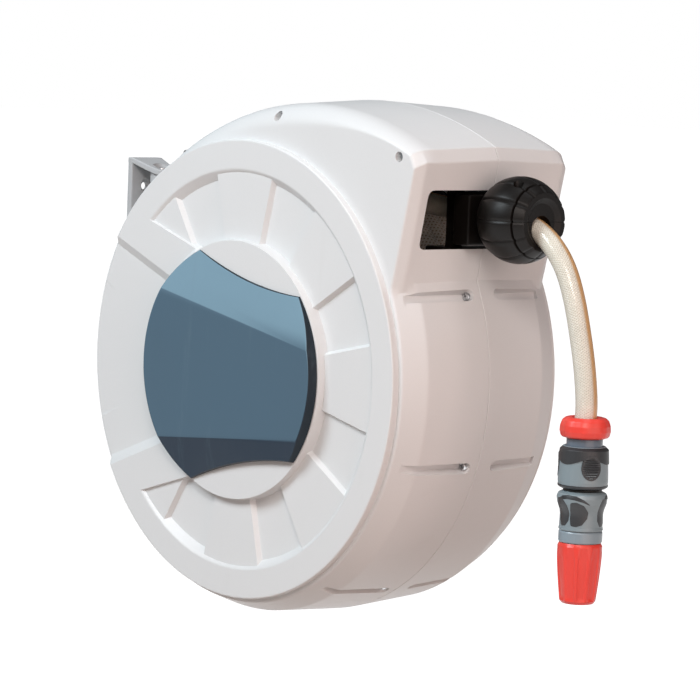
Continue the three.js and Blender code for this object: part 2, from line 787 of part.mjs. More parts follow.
const pawlBearing = -48; // degrees
const pawlFold = 100; // degrees between the pawl's arm and its bearing
const pawlReach = ratchetTip + pawlLift + 9;
const pawlX = pawlReach * Math.cos(THREE.MathUtils.degToRad(pawlBearing));
const pawlZ = pawlReach * Math.sin(THREE.MathUtils.degToRad(pawlBearing));

function ratchetWheel() {
  const pitch = 360 / ratchetTeeth;
  const outline = [];
  for (let tooth = 0; tooth < ratchetTeeth; tooth += 1) {
    const [root, tip] = [tooth * pitch, (tooth + 0.92) * pitch];
    outline.push(arc(0, 0, ratchetRoot, root, root, 1)[0], arc(0, 0, ratchetTip, tip, tip, 1)[0]);
  }
  const far = -flangeOuter - gap;
  const bore = rod(ratchetInner, far - ratchetWidth - 1, far + 1, drumSides);
  return cut(prism(outline, far - ratchetWidth, far), bore);
}

function pawl() {
  const far = -flangeOuter - gap;
  const eye = pawlPinRadius + wall;
  const tip = [[20, -eye - 2.4], [25, -eye - 1.6], [22, -1]];
  const outline = [...arc(0, 0, eye, 60, 300, 10), ...tip];
  const arm = prism(outline, far - ratchetWidth, far);
  const bored = cut(arm, rod(pawlPinRadius + gap, far - ratchetWidth - 1, far + 1, 16));
  return swung(bored, pawlBearing - pawlFold).translate([pawlX, 0, pawlZ]);
}

function pawlPin() {
  return rod(pawlPinRadius, -sideInner, -flangeOuter - gap, 16).translate([pawlX, 0, pawlZ]);
}

// ---------------------------------------------------------------- gear train

const idlerDistance = (gearModule * (drumTeeth + idlerTeeth)) / 2;
const idlerX = idlerDistance * Math.cos(screwBearing);
const idlerZ = idlerDistance * Math.sin(screwBearing);
const idlerPinRadius = 4;

// A spur gear centred on the Y axis, with one tooth pointing along the given bearing (radians).
function spurGear(teeth, bearing, y0, y1) {
  const pitchRadius = (gearModule * teeth) / 2;
  const [root, tip] = [pitchRadius - 1.1 * gearModule, pitchRadius + 0.8 * gearModule];
  const pitch = (2 * Math.PI) / teeth;
  const outline = [];
  for (let tooth = 0; tooth < teeth; tooth += 1) {
    const middle = bearing + tooth * pitch;
    for (const [radius, turn] of [[root, -0.27], [tip, -0.12], [tip, 0.12], [root, 0.27]]) {
      const angle = middle + turn * pitch;
      outline.push([radius * Math.cos(angle), radius * Math.sin(angle)]);
    }
  }
  return prism(outline, y0, y1);
}

function drumGear() {
  const teeth = spurGear(drumTeeth, screwBearing, gearFace, gearFace + gearWidth);
  const plate = rod(hubRadius - hubWall - gap, flangeOuter - wall, flangeOuter, drumSides);
  const neck = rod(waterTubeRadius + 2 * wall, flangeOuter - 1, gearFace + 1, 24);
  const hole = rod(waterTubeRadius + gap, flangeOuter - wall - 1, gearFace + gearWidth + 1, 24);
  return cut(joined(teeth, neck, plate), hole);
}

// Half a tooth of turn puts a gap of the idler, which has an even number of teeth, in front of each
// neighbour's tooth.
function idlerGear() {
  const half = Math.PI / idlerTeeth;
  const wheel = spurGear(idlerTeeth, screwBearing + Math.PI + half, gearFace, gearFace + gearWidth);
  const bore = rod(idlerPinRadius + gap, gearFace - 1, gearFace + gearWidth + 1, 16);
  return cut(wheel, bore).translate([idlerX, 0, idlerZ]);
}

function idlerPin() {
  return rod(idlerPinRadius, gearFace, sideInner, 16).translate([idlerX, 0, idlerZ]);
}

function screwGear() {
  const gear = spurGear(screwTeeth, screwBearing + Math.PI, gearFace, gearFace + gearWidth);
  const bore = rod(crossScrewRadius + gap / 2, gearFace - 1, gearFace + gearWidth + 1, 20);
  return cut(gear, bore).translate([screwX, 0, screwZ]);
}

function crossScrew() {
  return rod(crossScrewRadius, -sideInner + gap, sideInner - gap, 20).translate([screwX, 0, screwZ]);
}

function guideRod() {
  return rod(guideRodRadius, -sideInner + gap, sideInner - gap, 16).translate([screwX, 0, rodZ]);
}

// ---------------------------------------------------------------- hose guide

// The hose leaves the wound layers on a tangent that ends in the middle of the guide's eye.
const leaveRadius = packRadius + hoseRadius + gap;
const leaveAngle = Math.atan2(eyeZ, eyeX) + Math.acos(leaveRadius / Math.hypot(eyeX, eyeZ));
const leaveX = leaveRadius * Math.cos(leaveAngle);
const leaveZ = leaveRadius * Math.sin(leaveAngle);

function hoseLine(x) {
  return leaveZ + ((eyeZ - leaveZ) * (x - leaveX)) / (eyeX - leaveX);
}

const uprightRollerX = eyeX - wall - rollerRadius - 1;
const levelRollerX = uprightRollerX - 2 * rollerRadius - 2;
const levelRollerZ = hoseLine(levelRollerX);
const rollerOffset = hoseRadius + rollerClearance + rollerRadius;
const guideSleeve = crossScrewRadius + wall;
const guideFront = screwX + guideSleeve + 4;
const tunnelHalfHeight = rollerOffset + rollerRadius + gap;
const tunnelHalfWidth = carriageHalfWidth - mouthWall;
const tunnelTop = levelRollerZ + tunnelHalfHeight;
const mouthHalfHeight = mouthHeight / 2;

// Two arms, on the cross screw and on the guide rod, carry a narrow carriage that ends in the mouth.
function hoseGuide() {
  const [back, across] = [screwX - guideSleeve, guideHalfWidth + 1];
  const carriageBack = levelRollerX - rollerRadius - wall;
  const mouthBack = uprightRollerX - rollerRadius - wall / 2;
  const [armWidth, halfWindow] = [[-guideHalfWidth, guideHalfWidth], windowHeight / 2];
  const lowerArm = block([back, guideFront], armWidth, [screwZ, windowZ - halfWindow]);
  const upperArm = block(
    [back, guideFront], armWidth, [windowZ + halfWindow, rodZ + guideRodRadius + wall],
  );
  const nutSleeve = rod(guideSleeve, -guideHalfWidth, guideHalfWidth, 20)
    .translate([screwX, 0, screwZ]);
  const carriage = block(
    [carriageBack, mouthBack + wall], [-carriageHalfWidth, carriageHalfWidth],
    [windowZ - halfWindow - wall, tunnelTop + wall],
  );
  const mouth = aroundWindow([mouthBack, eyeX], mouthHalfWidth, mouthHalfHeight);
  const body = joined(lowerArm, upperArm, nutSleeve, carriage, mouth);

  const roomHalfHeight = mouthHalfHeight - mouthWall;
  const mouthRoom = aroundWindow(
    [mouthBack + wall / 2, eyeX - wall], mouthHalfWidth - mouthWall, roomHalfHeight,
  );
  const tunnel = block(
    [carriageBack - 1, mouthBack], [-tunnelHalfWidth, tunnelHalfWidth],
    [levelRollerZ - tunnelHalfHeight, tunnelTop],
  );
  const passage = aroundWindow([mouthBack - 1, mouthBack + wall], tunnelHalfWidth, roomHalfHeight);
  const eye = alongX(rod(eyeRadius, eyeX - wall - 1, eyeX + 1, 32)).translate([0, 0, eyeZ]);
  const screwBore = rod(crossScrewRadius + gap, -across, across, 20).translate([screwX, 0, screwZ]);
  const rodBore = rod(guideRodRadius + gap, -across, across, 16).translate([screwX, 0, rodZ]);
  const level = rod(rollerPin + gap, -across, across, 12).translate([levelRollerX, 0, levelRollerZ]);
  const upright = alongZ(rod(rollerPin + gap, -mouthHalfHeight - 1, mouthHalfHeight + 1, 12))
    .translate([uprightRollerX, 0, windowZ]);
  const pins = [-rollerOffset, rollerOffset].flatMap((offset) => [
    level.translate([0, 0, offset]), upright.translate([0, offset, 0]),
  ]);
  return cut(body, mouthRoom, tunnel, passage, eye, screwBore, rodBore, ...pins);
}

// A block along X in the middle of the window.
function aroundWindow(span, halfWidth, halfHeight) {
  return block(span, [-halfWidth, halfWidth], [windowZ - halfHeight, windowZ + halfHeight]);
}

// A roller with a journal at each end, lying along Y through the given point.
function roller(halfLength, journal) {
  return turned([
    [0, -journal], [rollerPin, -journal], [rollerPin, -halfLength], [rollerRadius, -halfLength],
    [rollerRadius, halfLength], [rollerPin, halfLength], [rollerPin, journal], [0, journal],
  ], 16);
}

function levelRoller(side) {
  return roller(tunnelHalfWidth - gap, carriageHalfWidth)
    .translate([levelRollerX, 0, levelRollerZ + side * rollerOffset]);
}

function uprightRoller(side) {
  const standing = alongZ(roller(mouthHalfHeight - mouthWall - gap, mouthHalfHeight));
  return standing.translate([uprightRollerX, side * rollerOffset, windowZ]);
}

// ---------------------------------------------------------------- water way

const radialTubeY = bossDepth + waterTubeRadius + 3;
const inletY = hubFace + connectorRadius + 1.5;

// Turns with the drum: along the axis, then out to the start of the hose on the hub.
function waterTube() {
  const end = sideOuter - 1;
  const reach = hubRadius - 2 * gap;
  const axial = rod(waterTubeRadius, radialTubeY - waterTubeRadius, end, 20);
  const radial = alongZ(rod(waterTubeRadius, 0, reach, 20)).translate([0, radialTubeY, 0]);
  const axialBore = rod(waterBore, radialTubeY, end + 1, 16);
  const radialBore = alongZ(rod(waterBore, 0, reach + 1, 16)).translate([0, radialTubeY, 0]);
  return cut(joined(axial, radial), axialBore, radialBore);
}

// Fixed in the right shell: holds the turning tube in two seals and leads down to the supply.
function inletElbow() {
  const outer = inletBoreRadius + inletWall;
  const start = sideInner - 10;
  const seat = sideOuter + 3;
  const body = joined(
    rod(outer, start, inletY + outer - 4, 24),
    sleeve(outer - 1, outer + 4, start, sideInner - gap, 24),
  );
  const spigotRadius = inletBoreRadius - 1;
  const down = alongZ(rod(spigotRadius, -inletDrop, 0, 32)).translate([0, inletY, 0]);
  const ridge = alongZ(turned([
    [spigotRadius - 1, 14 - inletDrop], [spigotRadius + 2.2, 16 - inletDrop],
    [spigotRadius + 2.2, 18.5 - inletDrop], [spigotRadius - 1, 20.5 - inletDrop],
  ], 24)).translate([0, inletY, 0]);
  const socket = rod(inletBoreRadius, start - 1, seat, 20);
  const across = rod(waterBore, seat - 1, inletY, 16);
  const drop = alongZ(rod(waterBore, -inletDrop - 1, 0, 16)).translate([0, inletY, 0]);
  return cut(joined(body, down, ridge), socket, across, drop);
}

function inletSeal(y) {
  const thickness = (inletBoreRadius - waterTubeRadius) / 2 - gap;
  const middle = (inletBoreRadius + waterTubeRadius) / 2;
  const section = arc(middle, y, thickness, 0, 360, 8).slice(0, -1);
  return turned(section, 20);
}

// ---------------------------------------------------------------- hose

// Comes off the top of the wound layers and runs straight to the guide's eye.
function hoseRun() {
  const leave = THREE.MathUtils.radToDeg(leaveAngle);
  const wrapped = arc(0, 0, leaveRadius, leave + 48, leave, 6);
  const end = eyeX - wall - 3 * gap;
  const straight = [0.3, 0.65, 1].map((t) => {
    const x = THREE.MathUtils.lerp(leaveX, end, t);
    return [x, hoseLine(x)];
  });
  const points = [...wrapped, ...straight].map(([x, z]) => new THREE.Vector3(x, 0, z));
  return tube(new THREE.CatmullRomCurve3(points), hoseRadius, 10, 14);
}

const tailStart = new THREE.Vector3(eyeX - wall + gap / 2, 0, eyeZ);
const tailPoints = tailRoute.map(([x, z]) => tailStart.clone().add(new THREE.Vector3(x, 0, z)));
const tailEnd = tailPoints.at(-1);

// The free hose, or with a larger radius the room that it needs.
function tail(radius) {
  return tube(new THREE.CatmullRomCurve3(tailPoints), radius, 10, 16);
}

// ---------------------------------------------------------------- ball stop

const ballX = eyeX + gap + Math.sqrt(ballRadius ** 2 - eyeRadius ** 2);

// The whole ball about its own centre, its flat face towards +X.
function ball() {
  const steps = 9;
  const back = -Math.sqrt(ballRadius ** 2 - eyeRadius ** 2) - 2;
  const profile = [];
  for (let i = 0; i <= steps; i += 1) {
    const y = back + ((ballFaceReach - back) * i) / steps;
    profile.push([Math.sqrt(ballRadius ** 2 - y ** 2), y]);
  }
  const collar = [
    [ballCollarRadius - 1.5, ballFaceReach - ballCollarStep],
    [ballCollarRadius - 3, ballFaceReach + ballCollarStep],
  ];
  const sphere = turned([
    [0, back], ...profile.slice(0, -1), [ballCollarRadius, ballFaceReach - ballCollarStep],
    ...collar, [0, ballFaceReach + ballCollarStep],
  ], 24);
  const grooves = Array.from({ length: ballGrooves }, (_, i) => {
    const half = ballGrooveWidth / 2;
    const groove = block([ballRadius - ballGrooveDepth, ballRadius + 1], [-8, 12], [-half, half]);
    return swung(groove, ((i + 0.5) * 360) / ballGrooves);
  });
  return alongX(cut(sphere, ...grooves));
}

function ballHalf(side) {
  const [low, high] = side > 0 ? [gap / 2, ballRadius] : [-ballRadius, -gap / 2];
  const half = block([-ballRadius, ballRadius], [-ballRadius, ballRadius], [low, high]);
  const bore = tail(hoseRadius + 2 * gap).translate([-ballX, 0, -eyeZ]);
  const front = ballFaceReach + ballCollarStep;
  const mouth = alongX(turned([
    [0, front - ballMouthDepth], [ballMouthRadius - 2, front - ballMouthDepth],
    [ballMouthRadius, front + 1], [0, front + 1],
  ])).translate([0, 0, -ballMouthDrop]);
  const shank = alongZ(rod(shankHoleRadius, ballScrewSeat - ballScrewLength - 2, ballScrewSeat + 1, 8));
  const well = alongZ(rod(screwHoleRadius, ballScrewSeat, ballRadius + 1, 12));
  const [screwAtX, screwAtY] = ballScrewPlace;
  const screwRoom = shank.add(well).translate([screwAtX, -screwAtY, 0]);
  return cut(ball().intersect(half), bore, mouth, screwRoom).translate([ballX, 0, eyeZ]);
}

function ballScrew() {
  const [screwAtX, screwAtY] = ballScrewPlace;
  const standing = screw(ballScrewLength).rotate([-90, 0, 0]);
  return standing.translate([ballX + screwAtX, -screwAtY, eyeZ + ballScrewSeat + gap]);
}

// ---------------------------------------------------------------- hose fittings

// All fittings hang below the end of the free hose, on one upright axis.
const nutTop = tailEnd.z + 2;
const collarTop = nutTop - nutHeight - neckLength;
const collarBottom = collarTop - collarHeight;
const nozzleTop = collarBottom - 2 * gap;
const nozzleBodyBottom = nozzleTop - nozzleBodyHeight;
const nozzleRingBottom = nozzleBodyBottom - nozzleRingHeight;
const nozzleBottom = nozzleRingBottom - nozzleHeadHeight;

function hung(body) {
  return alongZ(body).translate([tailEnd.x, 0, 0]);
}

function ribs(count, radius, z0, z1, width) {
  return Array.from({ length: count }, (_, i) => {
    const rib = block([radius - 1.2, radius + 2], [z0, z1], [-width / 2, width / 2]);
    return swung(rib, (i * 360) / count);
  });
}

function connectorNut() {
  const bottom = nutTop - nutHeight;
  const body = turned([
    [hoseRadius + 1, nutTop], [connectorRadius - 1.5, nutTop], [connectorRadius, nutTop - 2],
    [connectorRadius, bottom + 2], [connectorRadius - 1.5, bottom], [hoseRadius + 1, bottom],
  ], 24);
  return hung(cut(body, ...ribs(nutRibs, connectorRadius, bottom + 3, nutTop - 3, 3)));
}

// The coupling's core: a barb in the hose, a neck below the nut, and the socket for the nozzle.
function connectorCore() {
  const [under, end] = [nutTop - nutHeight - gap, tailEnd.z - gap];
  const [socketFloor, rim] = [collarBottom + socketDepth, collarBottom + 3];
  return hung(turned([
    [fittingBore, end], [hoseRadius + 0.5, end],
    [hoseRadius + 0.5, under], [neckRadius, under],
    [neckRadius, rim], [nippleRadius + gap, rim],
    [nippleRadius + gap, socketFloor], [fittingBore, socketFloor],
  ], 24));
}

// The sleeve that is pulled down to let go of the nozzle.
function releaseCollar() {
  const top = collarTop;
  const waist = (top + collarBottom) / 2;
  const body = turned([
    [neckRadius + gap, top], [connectorRadius - 2, top],
    [connectorRadius, top - 3], [connectorRadius, waist + 4],
    [connectorRadius - 1.5, waist],
    [connectorRadius, waist - 4], [connectorRadius, collarBottom + 3],
    [connectorRadius - 3, collarBottom], [neckRadius + gap, collarBottom],
  ], 24);
  return hung(body);
}

function nozzleNipple() {
  const [top, end] = [collarBottom + socketDepth - gap, nozzleTop - nippleShank];
  return hung(turned([
    [fittingBore, top], [nippleRadius, top],
    [nippleRadius, nozzleTop], [neckRadius + 1, nozzleTop],
    [neckRadius + 1, nozzleTop - nippleStep], [nippleRadius, nozzleTop - nippleStep],
    [nippleRadius, end], [fittingBore, end],
  ], 24));
}

function nozzleBody() {
  const [top, bottom] = [nozzleTop - nippleStep - gap, nozzleBodyBottom];
  const shoulder = nozzleTop - nippleShank - gap;
  return hung(turned([
    [nippleRadius + gap, top], [connectorRadius - 1.5, top],
    [connectorRadius, top - 3], [connectorRadius, top - 12],
    [connectorRadius - 2.4, top - 17],
    [connectorRadius - 1.5, bottom + 3], [connectorRadius - 2.5, bottom],
    [nippleRadius, bottom], [nippleRadius, shoulder], [nippleRadius + gap, shoulder],
  ], 24));
}

function nozzleRing() {
  const [top, bottom] = [nozzleBodyBottom - gap, nozzleRingBottom];
  const outer = nozzleHeadRadius - 0.5;
  return hung(turned([
    [nippleRadius, top], [outer, top], [outer, bottom], [nippleRadius, bottom],
  ], 24));
}

// The spray head: turned to go from jet to mist.
function nozzleHead() {
  const [top, bottom] = [nozzleRingBottom - gap, nozzleBottom];
  const body = turned([
    [nippleRadius, top], [nozzleHeadRadius - 1, top],
    [nozzleHeadRadius, top - 3], [nozzleHeadRadius, top - 9],
    [nozzleTipRadius, bottom], [fittingBore, bottom],
    [fittingBore, top - 20], [nippleRadius, top - 20],
  ], 24);
  return hung(cut(body, ...ribs(nutRibs, nozzleHeadRadius, top - 24, top - 5, 2.4)));
}

// ---------------------------------------------------------------- wall bracket

const pinHeadRadius = swivelPinRadius + 3;
const pinSeat = bracketHeight / 2 - (pinFromWall + pinHeadRadius) * earSlope;

function wallBracket() {
  const [half, end] = [bracketWidth / 2, bracketHeight / 2];
  const tip = pinFromWall + earTipRadius;
  const fall = (tip - bracketThickness) * earSlope;
  const plate = block([0, bracketThickness], [-half, half], [-end, end]);
  const plan = column([
    [0, -half], [bracketThickness, -half],
    ...arc(pinFromWall, 0, earTipRadius, -80, 80, 6),
    [bracketThickness, half], [0, half],
  ], -end, end);
  const earTop = [[0, end], [bracketThickness, end], [tip, end - fall]];
  const earBottom = earTop.map(([x, z]) => [x, z - earThickness]).reverse();
  const ear = prism([...earTop, ...earBottom], -half, half).intersect(plan);
  const boss = alongZ(rod(earTipRadius - 2.5, end - earBossDrop, pinSeat, 12))
    .translate([pinFromWall, 0, 0]);
  const upper = ear.add(boss);
  const headRoom = alongZ(rod(pinHeadRadius + gap, pinSeat, end + 1, 12))
    .translate([pinFromWall, 0, 0]);
  const bore = alongZ(rod(swivelPinRadius + gap, -end - 1, end + 1, 12))
    .translate([pinFromWall, 0, 0]);
  const whole = joined(plate, upper, upper.mirror([0, 0, 1]));
  const holes = wallScrewHoles.map((z) => wallScrewHole().translate([0, 0, z]));
  return cut(whole, bore, headRoom, headRoom.mirror([0, 0, 1]), ...holes);
}

// A countersunk hole through the bracket's plate.
function wallScrewHole() {
  const sink = wallScrewHoleRadius + 3.2;
  return alongX(turned([
    [0, -1], [wallScrewHoleRadius, -1], [wallScrewHoleRadius, bracketThickness - 3],
    [sink, bracketThickness + 0.2], [sink, bracketThickness + 1], [0, bracketThickness + 1],
  ], 16));
}

function swivelPin() {
  const pin = joined(
    rod(swivelPinRadius, -pinSeat - 4, pinSeat + 2, 12),
    rod(pinHeadRadius, pinSeat + gap, pinSeat + 3, 12),
  );
  const groove = sleeve(swivelPinRadius - 0.9, swivelPinRadius + 1, -pinSeat - 2.6, -pinSeat - gap, 12);
  return alongZ(cut(pin, groove)).translate([pinFromWall, 0, 0]);
}

function pinClip() {
  const ring = sleeve(swivelPinRadius - 0.6, pinHeadRadius - gap, -pinSeat - 2.3, -pinSeat - 2 * gap, 12);
  const mouth = block([0, 10], [-pinSeat - 4, -pinSeat], [-2, 2]);
  return alongZ(cut(ring, mouth)).translate([pinFromWall, 0, 0]);
}

// ---------------------------------------------------------------- assembly

const bracket = new THREE.Group();
bracket.add(piece('wall_bracket', bracketPlastic, wallBracket()));
bracket.add(piece('swivel_pin', steel, swivelPin()));
bracket.add(piece('swivel_pin_clip', springSteel, pinClip()));

const casing = new THREE.Group();
casing.add(piece('casing_left', casingPlastic, casingLeft()));
casing.add(piece('casing_right', casingPlastic, casingRight()));
casing.add(piece('cap_left', capPlastic, mirrored(cap())));
casing.add(piece('cap_right', capPlastic, capRight()));
casing.add(...casingScrews());
casing.add(piece('axle', steel, axle()));
casing.add(piece('spring_arbor', drumPlastic, springArbor()));
casing.add(piece('main_spring', springSteel, mainSpring()));
casing.add(piece('pawl_pin', steel, pawlPin()));
casing.add(piece('idler_pin', steel, idlerPin()));
casing.add(piece('guide_rod', steel, guideRod()));
casing.add(piece('inlet_elbow', blackPlastic, inletElbow()));
casing.add(piece('inlet_seal_inner', rubber, inletSeal(sideInner - 6)));
casing.add(piece('inlet_seal_outer', rubber, inletSeal(sideInner)));

const drum = new THREE.Group();
drum.add(piece('drum_left', drumPlastic, mirrored(drumHalf())));
drum.add(piece('drum_right', drumPlastic, drumRight()));
drum.add(piece('axle_bush', gearPlastic, axleBush()));
drum.add(piece('spring_cover', drumPlastic, springCover()));
drum.add(piece('ratchet_wheel', gearPlastic, ratchetWheel()));
drum.add(piece('drum_gear', gearPlastic, drumGear()));
drum.add(piece('water_tube', blackPlastic, waterTube()));
drum.add(piece('hose_pack', hosePlastic, hosePack()));

const levelWind = new THREE.Group();
levelWind.add(piece('pawl', steel, pawl()));
levelWind.add(piece('idler_gear', gearPlastic, idlerGear()));
levelWind.add(piece('cross_screw', gearPlastic, crossScrew()));
levelWind.add(piece('screw_gear', gearPlastic, screwGear()));

const guide = new THREE.Group();
guide.add(piece('hose_guide', blackPlastic, hoseGuide()));
guide.add(piece('roller_upper', blackPlastic, levelRoller(1)));
guide.add(piece('roller_lower', blackPlastic, levelRoller(-1)));
guide.add(piece('roller_left', blackPlastic, uprightRoller(-1)));
guide.add(piece('roller_right', blackPlastic, uprightRoller(1)));
guide.add(piece('hose_run', hosePlastic, hoseRun()));

const freeHose = new THREE.Group();
freeHose.add(piece('ball_upper', blackPlastic, ballHalf(1)));
freeHose.add(piece('ball_lower', blackPlastic, ballHalf(-1)));
freeHose.add(piece('ball_screw', steel, ballScrew()));
freeHose.add(piece('hose_tail', hosePlastic, tail(hoseRadius)));
freeHose.add(piece('connector_nut', redPlastic, connectorNut()));
freeHose.add(piece('connector_core', greyPlastic, connectorCore()));
freeHose.add(piece('release_collar', greyPlastic, releaseCollar()));
freeHose.add(piece('nozzle_nipple', blackPlastic, nozzleNipple()));
freeHose.add(piece('nozzle_body', greyPlastic, nozzleBody()));
freeHose.add(piece('nozzle_ring', paleGreyPlastic, nozzleRing()));
freeHose.add(piece('nozzle_head', redPlastic, nozzleHead()));

const reel = new THREE.Group();
reel.position.set(axisX, 0, -bracketRise);
reel.add(casing, drum, levelWind, guide, freeHose);

const hoseReel = new THREE.Group();
hoseReel.add(bracket, reel);

export default hoseReel;
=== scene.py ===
import logging
import math
from dataclasses import dataclass
from enum import Enum
from typing import Callable, Iterable, Sequence

import bmesh
import bpy
from mathutils import Matrix, Vector


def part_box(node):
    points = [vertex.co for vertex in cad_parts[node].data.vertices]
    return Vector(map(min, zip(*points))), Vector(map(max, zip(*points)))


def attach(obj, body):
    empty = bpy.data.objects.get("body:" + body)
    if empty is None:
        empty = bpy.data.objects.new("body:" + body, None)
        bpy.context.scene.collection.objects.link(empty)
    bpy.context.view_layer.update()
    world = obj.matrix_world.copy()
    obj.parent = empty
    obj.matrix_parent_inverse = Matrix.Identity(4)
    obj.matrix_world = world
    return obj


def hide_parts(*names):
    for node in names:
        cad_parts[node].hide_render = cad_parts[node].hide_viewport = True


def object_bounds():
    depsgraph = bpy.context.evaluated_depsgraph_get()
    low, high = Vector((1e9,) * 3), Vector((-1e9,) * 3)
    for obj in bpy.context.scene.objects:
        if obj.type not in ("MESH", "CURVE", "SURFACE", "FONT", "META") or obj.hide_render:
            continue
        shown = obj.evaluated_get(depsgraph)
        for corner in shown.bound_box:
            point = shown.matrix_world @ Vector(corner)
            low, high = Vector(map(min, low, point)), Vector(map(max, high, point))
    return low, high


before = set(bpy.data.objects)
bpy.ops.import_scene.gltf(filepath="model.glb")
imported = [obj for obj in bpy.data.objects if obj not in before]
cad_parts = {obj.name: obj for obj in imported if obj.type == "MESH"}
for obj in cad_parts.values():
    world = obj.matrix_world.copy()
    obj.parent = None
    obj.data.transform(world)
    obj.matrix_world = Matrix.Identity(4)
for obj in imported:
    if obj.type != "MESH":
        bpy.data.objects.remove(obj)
CAD_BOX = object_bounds()

LOG = logging.getLogger("hose_reel")
MM = 0.001
GAP = 0.3

# Places that several sub-assemblies share, in millimetres from the drum's axis.
EYE_X, EYE_Z = 190.0, 131.5
WINDOW_Z, WINDOW_HEIGHT = 129.5, 45.0
SIDE_INNER, SIDE_OUTER = 78.0, 81.0
HUB_RADIUS, DRUM_HALF_WIDTH = 58.0, 57.75
HOSE_RADIUS = 8.25
PAD_BEARING = math.radians(-28.0)

# How meshes are worked.
STRAIGHT = math.radians(172)
EDGE_SHARE = 0.45
MITRE_LIMIT = 0.3
ON_AXIS = 1e-6
ON_PLANE = 1e-4
WELD = 1e-3
BOOLEAN_WELD = 5e-3
FLAT_AREA = 200.0

Point = tuple[float, float]
Place = tuple[float, float, float]
Outline = list[Point]
Colour = tuple[float, float, float, float]
Piece = bpy.types.Object
Node = bpy.types.Node
NodeTree = bpy.types.NodeTree
Socket = bpy.types.NodeSocket
WHITE: Colour = (1.0, 1.0, 1.0, 1.0)


def centre_of(node: str) -> Vector:
    """The middle of a CAD node's box, in metres."""
    low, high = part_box(node)
    return (low + high) / 2


AXLE = centre_of("axle")
TO_MODEL = Matrix.Translation((AXLE.x, 0.0, AXLE.z)) @ Matrix.Scale(MM, 4)


class Body(str, Enum):
    """The CAD bodies that new pieces ride on."""

    BRACKET = "bracket"
    CASING = "casing"
    DRUM = "drum"
    GUIDE = "guide"
    NUT = "nut"
    COLLAR = "collar"
    SPRAY = "spray_head"
    UPPER_ROLLER = "upper_roller"
    LOWER_ROLLER = "lower_roller"
    LEFT_ROLLER = "left_roller"
    RIGHT_ROLLER = "right_roller"


class Slot(str, Enum):
    """The material slots of the record."""

    CASING = "casing"
    CAP = "cap"
    BRACKET = "bracket"
    BLACK = "black"
    DARK = "dark"
    NATURAL = "natural"
    STEEL = "steel"
    SPRING_STEEL = "spring_steel"
    RUBBER = "rubber"
    HOSE = "hose"
    RED = "red"
    GREY = "grey"
    PALE_GREY = "pale_grey"


# ---- outlines


def arc(centre: Point, radius: float, start: float, end: float, steps: int) -> Outline:
    """Points of an arc.

    Args:
        centre: middle of the circle.
        radius: of the circle.
        start: first angle, in degrees.
        end: last angle, in degrees.
        steps: number of equal stretches.

    Returns:
        steps + 1 points.
    """
    angles = [math.radians(start + (end - start) * i / steps) for i in range(steps + 1)]
    return [(centre[0] + radius * math.cos(a), centre[1] + radius * math.sin(a)) for a in angles]


def eased(
    points: Outline, radius: float, steps: int = 3, hold: Callable[[Point], bool] = lambda p: False,
) -> Outline:
    """Rounds the corners of a closed outline.

    Args:
        points: the outline.
        radius: of the rounding, smaller where an edge is short.
        steps: stretches of each rounding.
        hold: says which corners stay sharp.

    Returns:
        The rounded outline.
    """
    made: Outline = []
    for i, point in enumerate(points):
        corner = Vector(point)
        back, ahead = Vector(points[i - 1]) - corner, Vector(points[(i + 1) % len(points)]) - corner
        bend = back.angle(ahead) if back.length > 0 and ahead.length > 0 else math.pi
        if hold(point) or bend > STRAIGHT:
            made.append(point)
            continue
        reach = min(radius / math.tan(bend / 2), back.length * EDGE_SHARE, ahead.length * EDGE_SHARE)
        first, last = corner + back.normalized() * reach, corner + ahead.normalized() * reach
        for k in range(steps + 1):
            t = k / steps
            q = first * (1 - t) ** 2 + corner * 2 * t * (1 - t) + last * t**2
            made.append((q.x, q.y))
    return made


def inset(outline: Outline, amount: float) -> Outline:
    """Moves a closed outline inwards, or outwards where the amount is negative.

    Args:
        outline: the points.
        amount: distance.

    Returns:
        As many points as the outline has.
    """
    area = sum(a[0] * b[1] - b[0] * a[1] for a, b in zip(outline, outline[1:] + outline[:1]))
    side = amount if area > 0 else -amount
    made = []
    for i, point in enumerate(outline):
        before = Vector(point) - Vector(outline[i - 1])
        after = Vector(outline[(i + 1) % len(outline)]) - Vector(point)
        u, v = before.normalized(), after.normalized()
        normal = Vector((-u.y, u.x))
        middle = (normal + Vector((-v.y, v.x))).normalized()
        q = Vector(point) + middle * side / max(middle.dot(normal), MITRE_LIMIT)
        made.append((q.x, q.y))
    return made


def both_sides(half: Iterable[Point]) -> Outline:
    """An outline from its upper half, which the lower half mirrors."""
    upper = list(half)
    return upper + [(x, -z) for x, z in reversed(upper)]


def smoothstep(value: float, low: float, high: float) -> float:
    """Rises smoothly from 0 at low to 1 at high."""
    t = min(max((value - low) / (high - low), 0.0), 1.0)
    return t * t * (3 - 2 * t)


def catmull_rom(points: Sequence[Vector], steps: int) -> list[Vector]:
    """A centripetal Catmull-Rom curve through points.

    Args:
        points: what the curve passes through.
        steps: stretches between two points.

    Returns:
        Points along the curve.
    """
    ends = [points[0] * 2 - points[1], *points, points[-1] * 2 - points[-2]]
    made = [points[0].copy()]
    for a, b, c, d in zip(ends, ends[1:], ends[2:], ends[3:]):
        t0, t1, t2 = ((q - p).length ** 0.5 for p, q in ((a, b), (b, c), (c, d)))
        leave = ((b - a) / t0 - (c - a) / (t0 + t1) + (c - b) / t1) * t1
        reach = ((c - b) / t1 - (d - b) / (t1 + t2) + (d - c) / t2) * t1
        for k in range(1, steps + 1):
            t = k / steps
            bend = (c - b) * 3 - leave * 2 - reach
            made.append(b + leave * t + bend * t**2 + ((b - c) * 2 + leave + reach) * t**3)
    return made


# ---- mesh forms


